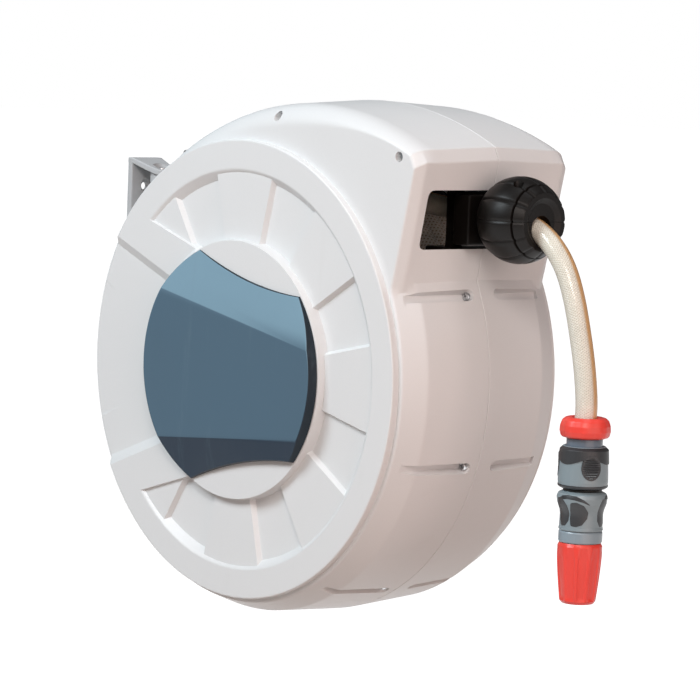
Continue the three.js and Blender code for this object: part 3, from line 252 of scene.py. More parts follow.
class Form:
    """A mesh under construction, in millimetres from the drum's axis."""

    def __init__(self) -> None:
        """Starts empty."""
        self.bm = bmesh.new()

    @classmethod
    def spun(cls, profile: Outline, steps: int = 96, soft: float = 0.0, stretches: int = 3) -> "Form":
        """Turns a closed profile of (radius, y) points about the Y axis.

        Args:
            profile: the points.
            steps: sides of the turned form.
            soft: radius to which corners off the axis are rounded, or 0.
            stretches: of each rounding.

        Returns:
            The form.
        """
        form = cls()
        points = eased(profile, soft, stretches, lambda p: p[0] == 0) if soft else profile
        verts = [form.bm.verts.new((radius, y, 0.0)) for radius, y in points]
        pairs = zip(verts, verts[1:] + verts[:1])
        edges = [form.bm.edges.new(pair) for pair in pairs if max(v.co.x for v in pair) > ON_AXIS]
        bmesh.ops.spin(
            form.bm, geom=verts + edges, cent=(0, 0, 0), axis=(0, 1, 0), dvec=(0, 0, 0),
            angle=math.tau, steps=steps, use_merge=True, use_duplicate=False,
        )
        return form.mended()

    @classmethod
    def lofted(cls, rings: Sequence[Sequence[Vector]]) -> "Form":
        """Joins rings with equally many points into a closed form.

        Args:
            rings: the rings, in order.

        Returns:
            The form.
        """
        form = cls()
        first = [form.bm.verts.new(point) for point in rings[0]]
        edges = [form.bm.edges.new(pair) for pair in zip(first, first[1:] + first[:1])]
        form.bm.faces.new(first)
        current = first
        for ring in rings[1:]:
            made = bmesh.ops.extrude_edge_only(form.bm, edges=edges)["geom"]
            fresh = {v for v in made if isinstance(v, bmesh.types.BMVert)}
            edges = [e for e in made if isinstance(e, bmesh.types.BMEdge)]
            others = ([e.other_vert(v) for e in v.link_edges] for v in current)
            current = [next(v for v in ends if v in fresh) for ends in others]
            for vert, point in zip(current, ring):
                vert.co = point
        form.bm.faces.new(current)
        return form.mended()

    @classmethod
    def prism(cls, outline: Outline, low: float, high: float, taper: float = 0.0) -> "Form":
        """Draws an outline of (x, z) points out along Y.

        Args:
            outline: the points.
            low: where it starts.
            high: where it ends.
            taper: how far the outline has moved inwards at its end.

        Returns:
            The form.
        """
        ends = ((low, outline), (high, inset(outline, taper) if taper else outline))
        return cls.lofted([[Vector((x, y, z)) for x, z in points] for y, points in ends])

    @classmethod
    def block(cls, x: Point, y: Point, z: Point, soft: float = 0.0) -> "Form":
        """A box between limits on each axis.

        Args:
            x: lower and upper limit.
            y: lower and upper limit.
            z: lower and upper limit.
            soft: width of the rounding along every edge.

        Returns:
            The form.
        """
        form = cls()
        bmesh.ops.create_cube(form.bm, size=1.0)
        sizes = [high - low for low, high in (x, y, z)]
        bmesh.ops.scale(form.bm, vec=sizes, verts=form.bm.verts)
        form.moved(*((low + high) / 2 for low, high in (x, y, z)))
        return form.softened(soft) if soft else form

    @classmethod
    def tube(cls, path: Sequence[Vector], radius: float, sides: int = 24) -> "Form":
        """A round tube along a path, with a map of turns around it and metres along it.

        Args:
            path: points of the centre line.
            radius: of the tube.
            sides: of its section.

        Returns:
            The form.
        """
        rings = []
        heading = (path[1] - path[0]).normalized()
        across = heading.orthogonal().normalized()
        for i, point in enumerate(path):
            ahead = (path[min(i + 1, len(path) - 1)] - path[max(i - 1, 0)]).normalized()
            across = (heading.rotation_difference(ahead) @ across).normalized()
            heading = ahead
            up = heading.cross(across)
            turns = [math.tau * k / sides for k in range(sides)]
            rings.append([
                point + across * radius * math.cos(a) + up * radius * math.sin(a) for a in turns
            ])
        form = cls()
        layer = form.bm.loops.layers.uv.new("UVMap")
        grid = [[form.bm.verts.new(p) for p in ring] for ring in rings]
        for ring in grid:
            for pair in zip(ring, ring[1:] + ring[:1]):
                form.bm.edges.new(pair)
        place = {v: (k, i) for i, ring in enumerate(grid) for k, v in enumerate(ring)}
        for low, high in zip(grid, grid[1:]):
            around = [
                form.bm.edges.get(pair) for ring in (low, high) for pair in zip(ring, ring[1:] + ring[:1])
            ]
            bmesh.ops.bridge_loops(form.bm, edges=around)
        travelled = [0.0]
        for a, b in zip(path, path[1:]):
            travelled.append(travelled[-1] + (b - a).length * MM)
        for face in form.bm.faces:
            wraps = {0, sides - 1} <= {place[v][0] for v in face.verts}
            for loop in face.loops:
                k, i = place[loop.vert]
                loop[layer].uv = ((sides if wraps and k == 0 else k) / sides, travelled[i])
        for ring in (grid[0], grid[-1]):
            form.bm.faces.new(ring)
        bmesh.ops.recalc_face_normals(form.bm, faces=form.bm.faces)
        return form

    @classmethod
    def together(cls, *forms: "Form") -> "Form":
        """Several forms that don't touch, as one."""
        whole = cls()
        for form in forms:
            mesh = form.as_mesh("part")
            whole.bm.from_mesh(mesh)
            bpy.data.meshes.remove(mesh)
        return whole

    def mended(self, distance: float = WELD) -> "Form":
        """Merges doubled points and turns the faces outwards."""
        bmesh.ops.remove_doubles(self.bm, verts=self.bm.verts, dist=distance)
        bmesh.ops.recalc_face_normals(self.bm, faces=self.bm.faces)
        return self

    def moved(self, x: float, y: float, z: float) -> "Form":
        """Moves the form."""
        bmesh.ops.translate(self.bm, vec=(x, y, z), verts=self.bm.verts)
        return self

    def turned(self, degrees: float, axis: str = "Y") -> "Form":
        """Turns the form about an axis through the origin."""
        turn = Matrix.Rotation(math.radians(degrees), 3, axis)
        bmesh.ops.rotate(self.bm, cent=(0, 0, 0), matrix=turn, verts=self.bm.verts)
        return self

    def swung(self, degrees: float) -> "Form":
        """Turns the form about the drum's axis, from +X towards +Z."""
        return self.turned(-degrees)

    def along_x(self) -> "Form":
        """Lays a form drawn along Y along X, its own X becoming -Y."""
        return self.turned(-90, "Z")

    def along_z(self) -> "Form":
        """Stands a form drawn along Y up along Z."""
        return self.turned(90, "X")

    def mirrored(self) -> "Form":
        """The form on the other side of the casing's middle plane."""
        bmesh.ops.scale(self.bm, vec=(1, -1, 1), verts=self.bm.verts)
        bmesh.ops.reverse_faces(self.bm, faces=self.bm.faces)
        return self

    def shaped(self, move: Callable[[Vector], Vector]) -> "Form":
        """Moves every point by a rule.

        Args:
            move: gives the new place of a point.

        Returns:
            The form.
        """
        for vert in self.bm.verts:
            vert.co = move(vert.co)
        return self

    def softened(
        self, width: float, segments: int = 2, angle: float = 25.0,
        where: Callable[[bmesh.types.BMEdge], bool] = lambda edge: True,
    ) -> "Form":
        """Rounds sharp edges.

        Args:
            width: of the rounding.
            segments: of the rounding.
            angle: edges that bend more than this many degrees are rounded.
            where: says which edges count.

        Returns:
            The form.
        """
        limit = math.radians(angle)
        edges = [
            e for e in self.bm.edges if len(e.link_faces) == 2 and e.calc_face_angle() > limit and where(e)
        ]
        bmesh.ops.bevel(
            self.bm, geom=edges, offset=width, offset_type="OFFSET", segments=segments,
            profile=0.5, affect="EDGES", clamp_overlap=True, material=-1,
        )
        return self

    def scored(self, point: Vector, normal: Vector, clear: bool = False) -> list:
        """Splits the faces along a plane, and gives the cut's points and edges.

        Args:
            point: on the plane.
            normal: of the plane.
            clear: whether what lies beyond the plane goes.

        Returns:
            What lies on the cut.
        """
        geometry = self.bm.verts[:] + self.bm.edges[:] + self.bm.faces[:]
        return bmesh.ops.bisect_plane(
            self.bm, geom=geometry, dist=ON_PLANE, plane_co=point, plane_no=normal, clear_outer=clear,
        )["geom_cut"]

    def planed(self, point: Vector, normal: Vector) -> "Form":
        """Cuts away what lies beyond a plane and closes the cut.

        Args:
            point: on the plane.
            normal: of the plane.

        Returns:
            The form.
        """
        made = self.scored(point, normal, True)
        bmesh.ops.edgenet_fill(self.bm, edges=[e for e in made if isinstance(e, bmesh.types.BMEdge)])
        bmesh.ops.recalc_face_normals(self.bm, faces=self.bm.faces)
        return self

    def cut(self, *tools: "Form") -> "Form":
        """Takes tools away from the form."""
        return self._combined(tools, "DIFFERENCE")

    def joined(self, *tools: "Form") -> "Form":
        """Adds tools to the form."""
        return self._combined(tools, "UNION")

    def kept_in(self, *tools: "Form") -> "Form":
        """Keeps what lies inside the tools."""
        return self._combined(tools, "INTERSECT")

    def as_mesh(self, name: str) -> bpy.types.Mesh:
        """The form as mesh data, in millimetres."""
        mesh = bpy.data.meshes.new(name)
        self.bm.to_mesh(mesh)
        return mesh

    def _combined(self, tools: Sequence["Form"], operation: str) -> "Form":
        """Runs a Boolean with each tool and takes over its result.

        Args:
            tools: the other forms.
            operation: of the Boolean modifier.

        Returns:
            The form.
        """
        whole = bpy.data.objects.new("whole", self.as_mesh("whole"))
        others = [bpy.data.objects.new("tool", tool.as_mesh("tool")) for tool in tools]
        for obj in (whole, *others):
            bpy.context.collection.objects.link(obj)
        for obj in others:
            modifier = whole.modifiers.new("combine", "BOOLEAN")
            modifier.operation = operation
            modifier.solver = "MANIFOLD"
            modifier.object = obj
        depsgraph = bpy.context.evaluated_depsgraph_get()
        result = bpy.data.meshes.new_from_object(whole.evaluated_get(depsgraph))
        self.bm.clear()
        self.bm.from_mesh(result)
        for obj in (whole, *others):
            data = obj.data
            bpy.data.objects.remove(obj)
            bpy.data.meshes.remove(data)
        bpy.data.meshes.remove(result)
        bmesh.ops.remove_doubles(self.bm, verts=self.bm.verts, dist=BOOLEAN_WELD)
        return self

    def publish(
        self, name: str, finish: "Finish", body: Body, replaces: Iterable[str] = (),
        crease: float = 32.0, folds: float = 0.0,
    ) -> Piece:
        """Makes the scene object of a finished form.

        Args:
            name: of the piece.
            finish: its look.
            body: what it rides on.
            replaces: the CAD nodes that it stands for.
            crease: edges that bend more than this many degrees look sharp.
            folds: edges of flat faces look sharp from this angle, where it isn't zero.

        Returns:
            The object.
        """
        for face in self.bm.faces:
            face.smooth = True
        for edge in self.bm.edges:
            if len(edge.link_faces) == 2:
                bend = math.degrees(edge.calc_face_angle())
                flat = min(face.calc_area() for face in edge.link_faces) > FLAT_AREA
                edge.smooth = not (bend > crease or (folds and flat and bend > folds))
        mesh = self.as_mesh(name)
        self.bm.free()
        mesh.transform(TO_MODEL)
        mesh.materials.append(finish.material())
        obj = bpy.data.objects.new(name, mesh)
        bpy.context.collection.objects.link(obj)
        shading = obj.modifiers.new("shading", "WEIGHTED_NORMAL")
        shading.keep_sharp = True
        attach(obj, body.value)
        if replaces:
            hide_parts(*replaces)
        LOG.info("%s: %d faces, rides on %s", name, len(mesh.polygons), body.value)
        return obj


def rod(radius: float, low: float, high: float, steps: int = 48, soft: float = 0.0) -> Form:
    """A round bar along Y, with its ends' edges rounded."""
    return Form.spun([(0, low), (radius, low), (radius, high), (0, high)], steps, soft)


def sleeve(inner: float, outer: float, low: float, high: float, steps: int = 64) -> Form:
    """A ring along Y."""
    return Form.spun([(inner, low), (outer, low), (outer, high), (inner, high)], steps)


def drawn_in(place: Vector, amount: float) -> Vector:
    """Moves a point towards the Y axis."""
    scale = 1 - amount / math.hypot(place.x, place.z)
    return Vector((place.x * scale, place.y, place.z * scale))


# ---- finishes


def paint(red: int, green: int, blue: int) -> Colour:
    """A display colour, 0 to 255 in each channel, as a linear colour."""
    channels = (red / 255, green / 255, blue / 255)
    return (*(c / 12.92 if c <= 0.04045 else ((c + 0.055) / 1.055) ** 2.4 for c in channels), 1.0)


class Wiring:
    """Adds nodes to a node tree and links them."""

    def __init__(self, tree: NodeTree) -> None:
        """Works on one tree."""
        self.tree = tree

    @classmethod
    def fresh(cls, owner: bpy.types.Material | bpy.types.World) -> "Wiring":
        """Wires a material or a world from nothing."""
        owner.use_nodes = True
        owner.node_tree.nodes.clear()
        return cls(owner.node_tree)

    def add(self, kind: str, inputs: dict | None = None, **settings: object) -> Node:
        """Adds one node.

        Args:
            kind: type of the node.
            inputs: a value, or the socket to link, for each input by name or number.
            settings: the node's own properties.

        Returns:
            The node.
        """
        node = self.tree.nodes.new(kind)
        for name, value in settings.items():
            setattr(node, name, value)
        self.feed(node, inputs or {})
        return node

    def feed(self, node: Node, inputs: dict) -> None:
        """Sets a node's inputs, and links those that are given a socket."""
        for key, value in inputs.items():
            if isinstance(value, Socket):
                self.tree.links.new(value, node.inputs[key])
            else:
                node.inputs[key].default_value = value

    def maths(self, operation: str, *values: object) -> Socket:
        """The result of one Math node."""
        return self.add("ShaderNodeMath", dict(enumerate(values)), operation=operation).outputs[0]

    def band(self, value: Socket, low: float, high: float) -> Socket:
        """Rises smoothly from 0 at low to 1 at high."""
        inputs = {"Value": value, "From Min": low, "From Max": high}
        return self.add("ShaderNodeMapRange", inputs, interpolation_type="SMOOTHSTEP").outputs["Result"]

    def noise(self, vector: Socket, scale: float | Socket, detail: float, rough: float = 0.5) -> Socket:
        """The value of one Noise Texture."""
        inputs = {"Vector": vector, "Scale": scale, "Detail": detail, "Roughness": rough}
        return self.add("ShaderNodeTexNoise", inputs).outputs["Fac"]

    def stretched(self, vector: Socket, scale: Place) -> Socket:
        """Coordinates that are scaled by axis."""
        return self.add("ShaderNodeMapping", {"Vector": vector, "Scale": scale}).outputs[0]

    def swing(self, value: Socket, amount: float | Socket, middle: float | Socket) -> Socket:
        """Lets a value about a half swing about another middle."""
        return self.maths("MULTIPLY_ADD", self.maths("SUBTRACT", value, 0.5), amount, middle)

    def mix(self, factor: object, first: object, second: object, blend: str = "MIX") -> Socket:
        """Mixes two colours."""
        colours = {0: factor, 6: first, 7: second}
        return self.add("ShaderNodeMix", colours, data_type="RGBA", blend_type=blend).outputs[2]


def group(name: str, inputs: dict[str, str], outputs: dict[str, str]) -> tuple[NodeTree, Wiring]:
    """Starts a shader node group.

    Args:
        name: of the group.
        inputs: socket type of each input.
        outputs: socket type of each output.

    Returns:
        The group and its wiring.
    """
    tree = bpy.data.node_groups.new(name, "ShaderNodeTree")
    for direction, sockets in (("INPUT", inputs), ("OUTPUT", outputs)):
        for label, kind in sockets.items():
            tree.interface.new_socket(label, in_out=direction, socket_type=f"NodeSocket{kind}")
    return tree, Wiring(tree)


def moulded_surface() -> NodeTree:
    """The group for moulded plastic: its fine grain, its tone's slow changes and its rubbed places."""
    name = "moulded surface"
    if name in bpy.data.node_groups:
        return bpy.data.node_groups[name]
    inputs = {"Vector": "Vector", "Colour": "Color", "Worn colour": "Color", "Grain scale": "Float",
              "Mottle": "Float", "Wear": "Float", "Roughness": "Float"}
    tree, wire = group(name, inputs, {"Colour": "Color", "Roughness": "Float", "Height": "Float"})
    given = wire.add("NodeGroupInput").outputs
    place = given["Vector"]
    grain = wire.noise(place, given["Grain scale"], 2.0, 0.6)
    pits = wire.add("ShaderNodeTexVoronoi", {"Vector": place, "Scale": given["Grain scale"]})
    cloud = wire.noise(place, 9.0, 5.0, 0.6)
    streak = wire.noise(wire.stretched(place, (60.0, 25.0, 7.0)), 1.0, 6.0, 0.7)
    speck = wire.swing(grain, 0.06, wire.swing(cloud, given["Mottle"], 1.0))
    shade = wire.add("ShaderNodeCombineColor", {0: speck, 1: speck, 2: speck}).outputs[0]
    toned = wire.mix(1.0, given["Colour"], shade, "MULTIPLY")
    rubbed = wire.maths("MULTIPLY", wire.band(streak, 0.56, 0.78), given["Wear"])
    height = wire.maths("MULTIPLY_ADD", pits.outputs["Distance"], 0.5, grain)
    rough = wire.maths("MULTIPLY_ADD", rubbed, 0.12, wire.swing(cloud, 0.25, given["Roughness"]))
    wire.add("NodeGroupOutput", {
        "Colour": wire.mix(rubbed, toned, given["Worn colour"]), "Roughness": rough, "Height": height,
    })
    return tree


def brushed_surface() -> NodeTree:
    """The group for bare metal: drawn streaks, small spots and their roughness."""
    name = "brushed surface"
    if name in bpy.data.node_groups:
        return bpy.data.node_groups[name]
    inputs = {"Vector": "Vector", "Colour": "Color", "Spot colour": "Color", "Roughness": "Float"}
    tree, wire = group(name, inputs, {"Colour": "Color", "Roughness": "Float", "Height": "Float"})
    given = wire.add("NodeGroupInput").outputs
    streak = wire.noise(wire.stretched(given["Vector"], (2500.0, 120.0, 2500.0)), 1.0, 3.0)
    mask = wire.band(wire.noise(given["Vector"], 420.0, 4.0), 0.52, 0.72)
    rough = wire.maths("MULTIPLY_ADD", streak, 0.2, given["Roughness"])
    wire.add("NodeGroupOutput", {
        "Colour": wire.mix(mask, given["Colour"], given["Spot colour"]),
        "Roughness": wire.maths("MULTIPLY_ADD", mask, 0.15, rough), "Height": streak,
    })
    return tree


def braided_yarn() -> NodeTree:
    """The group for the yarn inside a clear hose, on the tube's own map: two crossing families."""
    name = "braided yarn"
    if name in bpy.data.node_groups:
        return bpy.data.node_groups[name]
    inputs = {"Vector": "Vector", "Yarns": "Float", "Lay": "Float", "Width": "Float"}
    tree, wire = group(name, inputs, {"Yarn": "Float", "Height": "Float", "Around": "Float"})
    given = wire.add("NodeGroupInput").outputs
    split = wire.add("ShaderNodeSeparateXYZ", {0: given["Vector"]}).outputs
    around = wire.maths("MULTIPLY", split[0], given["Yarns"])
    along = wire.maths("MULTIPLY", split[1], given["Lay"])
    strands = []
    for operation in ("ADD", "SUBTRACT"):
        phase = wire.maths("FRACT", wire.maths(operation, around, along))
        off = wire.maths("ABSOLUTE", wire.maths("SUBTRACT", phase, 0.5))
        strands.append(wire.maths("SUBTRACT", 1.0, wire.maths("DIVIDE", off, given["Width"])))
    top = wire.maths("MAXIMUM", *strands)
    ragged = wire.swing(wire.noise(given["Vector"], 900.0, 2.0), 0.5, top)
    wire.add("NodeGroupOutput", {
        "Yarn": wire.band(ragged, -0.1, 0.35), "Height": wire.maths("MAXIMUM", top, 0.0), "Around": split[0],
    })
    return tree


@dataclass(frozen=True)
class Finish:
    """What a piece is finished in."""

    name: str
    slot: Slot
    colour: Colour
    roughness: float = 0.45

    def material(self) -> bpy.types.Material:
        """The material of this finish, made once."""
        if self.name in bpy.data.materials:
            return bpy.data.materials[self.name]
        material = bpy.data.materials.new(self.name)
        wire = Wiring.fresh(material)
        place = wire.add("ShaderNodeTexCoord")
        shader = wire.add("ShaderNodeBsdfPrincipled")
        self.dress(wire, place, shader)
        wire.add("ShaderNodeOutputMaterial", {"Surface": shader.outputs[0]})
        return material

    def dress(self, wire: Wiring, place: Node, shader: Node) -> None:
        """Links the finish's own nodes to the shader.

        Args:
            wire: of the material.
            place: the texture coordinates.
            shader: the material's shader.
        """
        raise NotImplementedError

    def link(self, wire: Wiring, shader: Node, surface: Node, depth: float) -> None:
        """Links a group's colour, roughness and height to the shader.

        Args:
            wire: of the material.
            shader: the material's shader.
            surface: the group node.
            depth: of the relief, in metres.
        """
        made = surface.outputs
        bump = wire.add("ShaderNodeBump", {"Height": made["Height"], "Strength": 1.0, "Distance": depth})
        wire.feed(shader, {
            "Base Color": made["Colour"], "Roughness": made["Roughness"], "Normal": bump.outputs[0],
        })


@dataclass(frozen=True)
class Plastic(Finish):
    """Injection-moulded plastic with a fine grain."""

    worn: Colour = (0.5, 0.5, 0.5, 1.0)
    grain_scale: float = 1500.0
    grain_depth: float = 0.00003
    mottle: float = 0.08
    wear: float = 0.1
    specular: float = 0.5

    def dress(self, wire: Wiring, place: Node, shader: Node) -> None:
        """Links the moulded surface to the shader."""
        surface = wire.add("ShaderNodeGroup", {
            "Vector": place.outputs["Object"], "Colour": self.field_colour(wire, place),
            "Worn colour": self.worn, "Grain scale": self.grain_scale, "Mottle": self.mottle,
            "Wear": self.wear, "Roughness": self.roughness,
        }, node_tree=moulded_surface())
        shader.inputs["Specular IOR Level"].default_value = self.specular
        self.link(wire, shader, surface, self.grain_depth)

    def field_colour(self, wire: Wiring, place: Node) -> Colour | Socket:
        """The plastic's colour, which is the same on every field."""
        return self.colour


@dataclass(frozen=True)
class PaintedShadePlastic(Plastic):
    """Plastic with painted light and shade: paler on fields that face up, darker on those that face down and
    on its edge.
    """

    # upper is painted light, lower and edge are painted shade, over the plastic's own colour.
    upper: Colour = (0.6, 0.6, 0.6, 1.0)
    lower: Colour = (0.3, 0.3, 0.3, 1.0)
    edge: Colour = (0.1, 0.1, 0.1, 1.0)
    lean: float = 0.12

    def field_colour(self, wire: Wiring, place: Node) -> Colour | Socket:
        """The colour by the way that a field faces: painted light on fields that face up, painted shade on
        those that face down and on the edge walls.

        Args:
            wire: of the material.
            place: the texture coordinates.

        Returns:
            The socket that gives it.
        """
        facing = wire.add("ShaderNodeSeparateXYZ", {0: place.outputs["Normal"]}).outputs
        # Painted light on fields that face up, painted shade on those that face down.
        high = wire.mix(wire.band(facing[2], 0.0, self.lean), self.colour, self.upper)
        low = wire.mix(wire.band(wire.maths("MULTIPLY", facing[2], -1.0), 0.0, self.lean), high, self.lower)
        # Painted shade on the edge walls, which face away from the cover's faces.
        flat = wire.band(wire.maths("ABSOLUTE", facing[1]), 0.6, 0.9)
        return wire.mix(flat, self.edge, low)


@dataclass(frozen=True)
class Metal(Finish):
    """Plated or blued steel."""

    spots: Colour = (0.3, 0.3, 0.3, 1.0)
    streak_depth: float = 0.000004

    def dress(self, wire: Wiring, place: Node, shader: Node) -> None:
        """Links the brushed surface to the shader."""
        surface = wire.add("ShaderNodeGroup", {
            "Vector": place.outputs["Object"], "Colour": self.colour, "Spot colour": self.spots,
            "Roughness": self.roughness,
        }, node_tree=brushed_surface())
        shader.inputs["Metallic"].default_value = 1.0
        self.link(wire, shader, surface, self.streak_depth)


@dataclass(frozen=True)
class ClearHose(Finish):
    """A clear hose over braided yarn, with one band of painted refraction along one side, in the line colour.
    """

    yarn: Colour = (0.8, 0.8, 0.8, 1.0)
    # line is the colour of the painted refraction band, the amber edge that light bending through the clear
    # skin gives.
    line: Colour = (0.8, 0.5, 0.2, 1.0)
    refraction_middle: float = 0.05
    refraction_half: float = 0.12
    yarns: float = 18.0
    lay: float = 520.0
    yarn_width: float = 0.3
    yarn_depth: float = 0.0004
    shade: float = 0.86
    skin: float = 0.6
    skin_roughness: float = 0.12

    def dress(self, wire: Wiring, place: Node, shader: Node) -> None:
        """Lays the yarn under a glossy clear skin, with the painted refraction band over it."""
        braid = wire.add("ShaderNodeGroup", {
            "Vector": place.outputs["UV"], "Yarns": self.yarns, "Lay": self.lay, "Width": self.yarn_width,
        }, node_tree=braided_yarn())
        tone = wire.noise(place.outputs["Object"], 60.0, 4.0)
        shaded = (*(c * self.shade for c in self.colour[:3]), 1.0)
        core = wire.mix(wire.band(tone, 0.35, 0.7), self.colour, shaded)
        # Painted refraction: a band at one bearing round the hose, in the line colour.
        turned = wire.maths("FRACT", wire.maths("ADD", braid.outputs["Around"], 1.5 - self.refraction_middle))
        off = wire.maths("ABSOLUTE", wire.maths("SUBTRACT", turned, 0.5))
        woven = wire.mix(wire.maths("MULTIPLY", braid.outputs["Yarn"], 0.8), core, self.yarn)
        bump = wire.add("ShaderNodeBump", {
            "Height": braid.outputs["Height"], "Strength": 0.6, "Distance": self.yarn_depth,
        })
        wire.feed(shader, {
            "Base Color": wire.mix(wire.band(off, self.refraction_half, self.refraction_half * 0.55), woven, self.line),
            "Roughness": wire.maths("MULTIPLY_ADD", tone, 0.2, self.roughness),
            "Normal": bump.outputs[0], "Coat Weight": self.skin, "Coat Roughness": self.skin_roughness,
        })


CASING_PLASTIC = Plastic(
    "casing plastic", Slot.CASING, paint(222, 224, 225), 0.42, worn=paint(204, 203, 200), grain_scale=1300,
    mottle=0.05, wear=0.12)
# The cap's upper, lower and edge colours are painted light and shade.
CAP_PLASTIC = PaintedShadePlastic(
    "cap plastic", Slot.CAP, paint(74, 100, 118), 0.5, worn=paint(112, 134, 148), grain_scale=1500,
    mottle=0.12, wear=0.15, specular=0.3, upper=paint(120, 152, 170), lower=paint(14, 36, 54),
    edge=paint(20, 32, 42))
BRACKET_PLASTIC = Plastic(
    "bracket plastic", Slot.BRACKET, paint(182, 184, 186), 0.45, worn=paint(160, 160, 158), grain_scale=1300,
    wear=0.15)
BLACK_PLASTIC = Plastic(
    "black plastic", Slot.BLACK, paint(15, 12, 10), 0.4, worn=paint(44, 38, 34), grain_scale=1700,
    mottle=0.25, wear=0.2, specular=0.2)
DARK_PLASTIC = Plastic(
    "drum plastic", Slot.DARK, paint(46, 47, 49), 0.5, worn=paint(82, 82, 82), grain_scale=1300)
NATURAL_PLASTIC = Plastic(
    "gear plastic", Slot.NATURAL, paint(224, 218, 204), 0.4, worn=paint(190, 180, 158))
RED_PLASTIC = Plastic(
    "red plastic", Slot.RED, paint(230, 66, 55), 0.36, worn=paint(234, 112, 102), grain_scale=1900,
    mottle=0.1, wear=0.2)
GREY_PLASTIC = Plastic(
    "grey plastic", Slot.GREY, paint(128, 144, 151), 0.36, worn=paint(158, 168, 174), grain_scale=1900,
    mottle=0.1, wear=0.2)
PALE_PLASTIC = Plastic(
    "pale grey plastic", Slot.PALE_GREY, paint(134, 150, 160), 0.33, worn=paint(185, 190, 194),
    grain_scale=1900, mottle=0.1, wear=0.2)
SOFT_GRIP = Plastic(
    "soft grip", Slot.GREY, paint(38, 40, 43), 0.42, worn=paint(70, 72, 76), grain_scale=2200, mottle=0.15,
    wear=0.2)
COUPLING_PLASTIC = Plastic(
    "coupling plastic", Slot.GREY, paint(92, 106, 120), 0.24, worn=paint(130, 140, 150), grain_scale=2200,
    mottle=0.1, wear=0.15)
SEAL_RUBBER = Plastic(
    "seal rubber", Slot.RUBBER, paint(24, 24, 24), 0.7, worn=paint(52, 52, 52), grain_scale=1800)
ZINC = Metal("zinc plate", Slot.STEEL, paint(196, 198, 200), 0.22, spots=paint(160, 160, 158))
SPRING_BLUE = Metal(
    "blued spring steel", Slot.SPRING_STEEL, paint(84, 90, 98), 0.25, spots=paint(70, 62, 56))
# The free hose's line colour is painted refraction.
HOSE = ClearHose(
    "clear hose", Slot.HOSE, paint(200, 196, 176), 0.3, yarn=paint(228, 226, 216), line=paint(208, 164, 110))
# The wound turns' yarn is painted paler than the free hose's: painted light, lifting the turns out of the
# shade inside the casing.
WOUND_HOSE_PAINTED_LIGHT = ClearHose(
    "wound hose", Slot.HOSE, paint(196, 188, 170), 0.34, yarn=paint(252, 250, 244), line=paint(222, 212, 190),
    refraction_half=0.004, yarns=11.0, lay=300.0)


# ---- studio


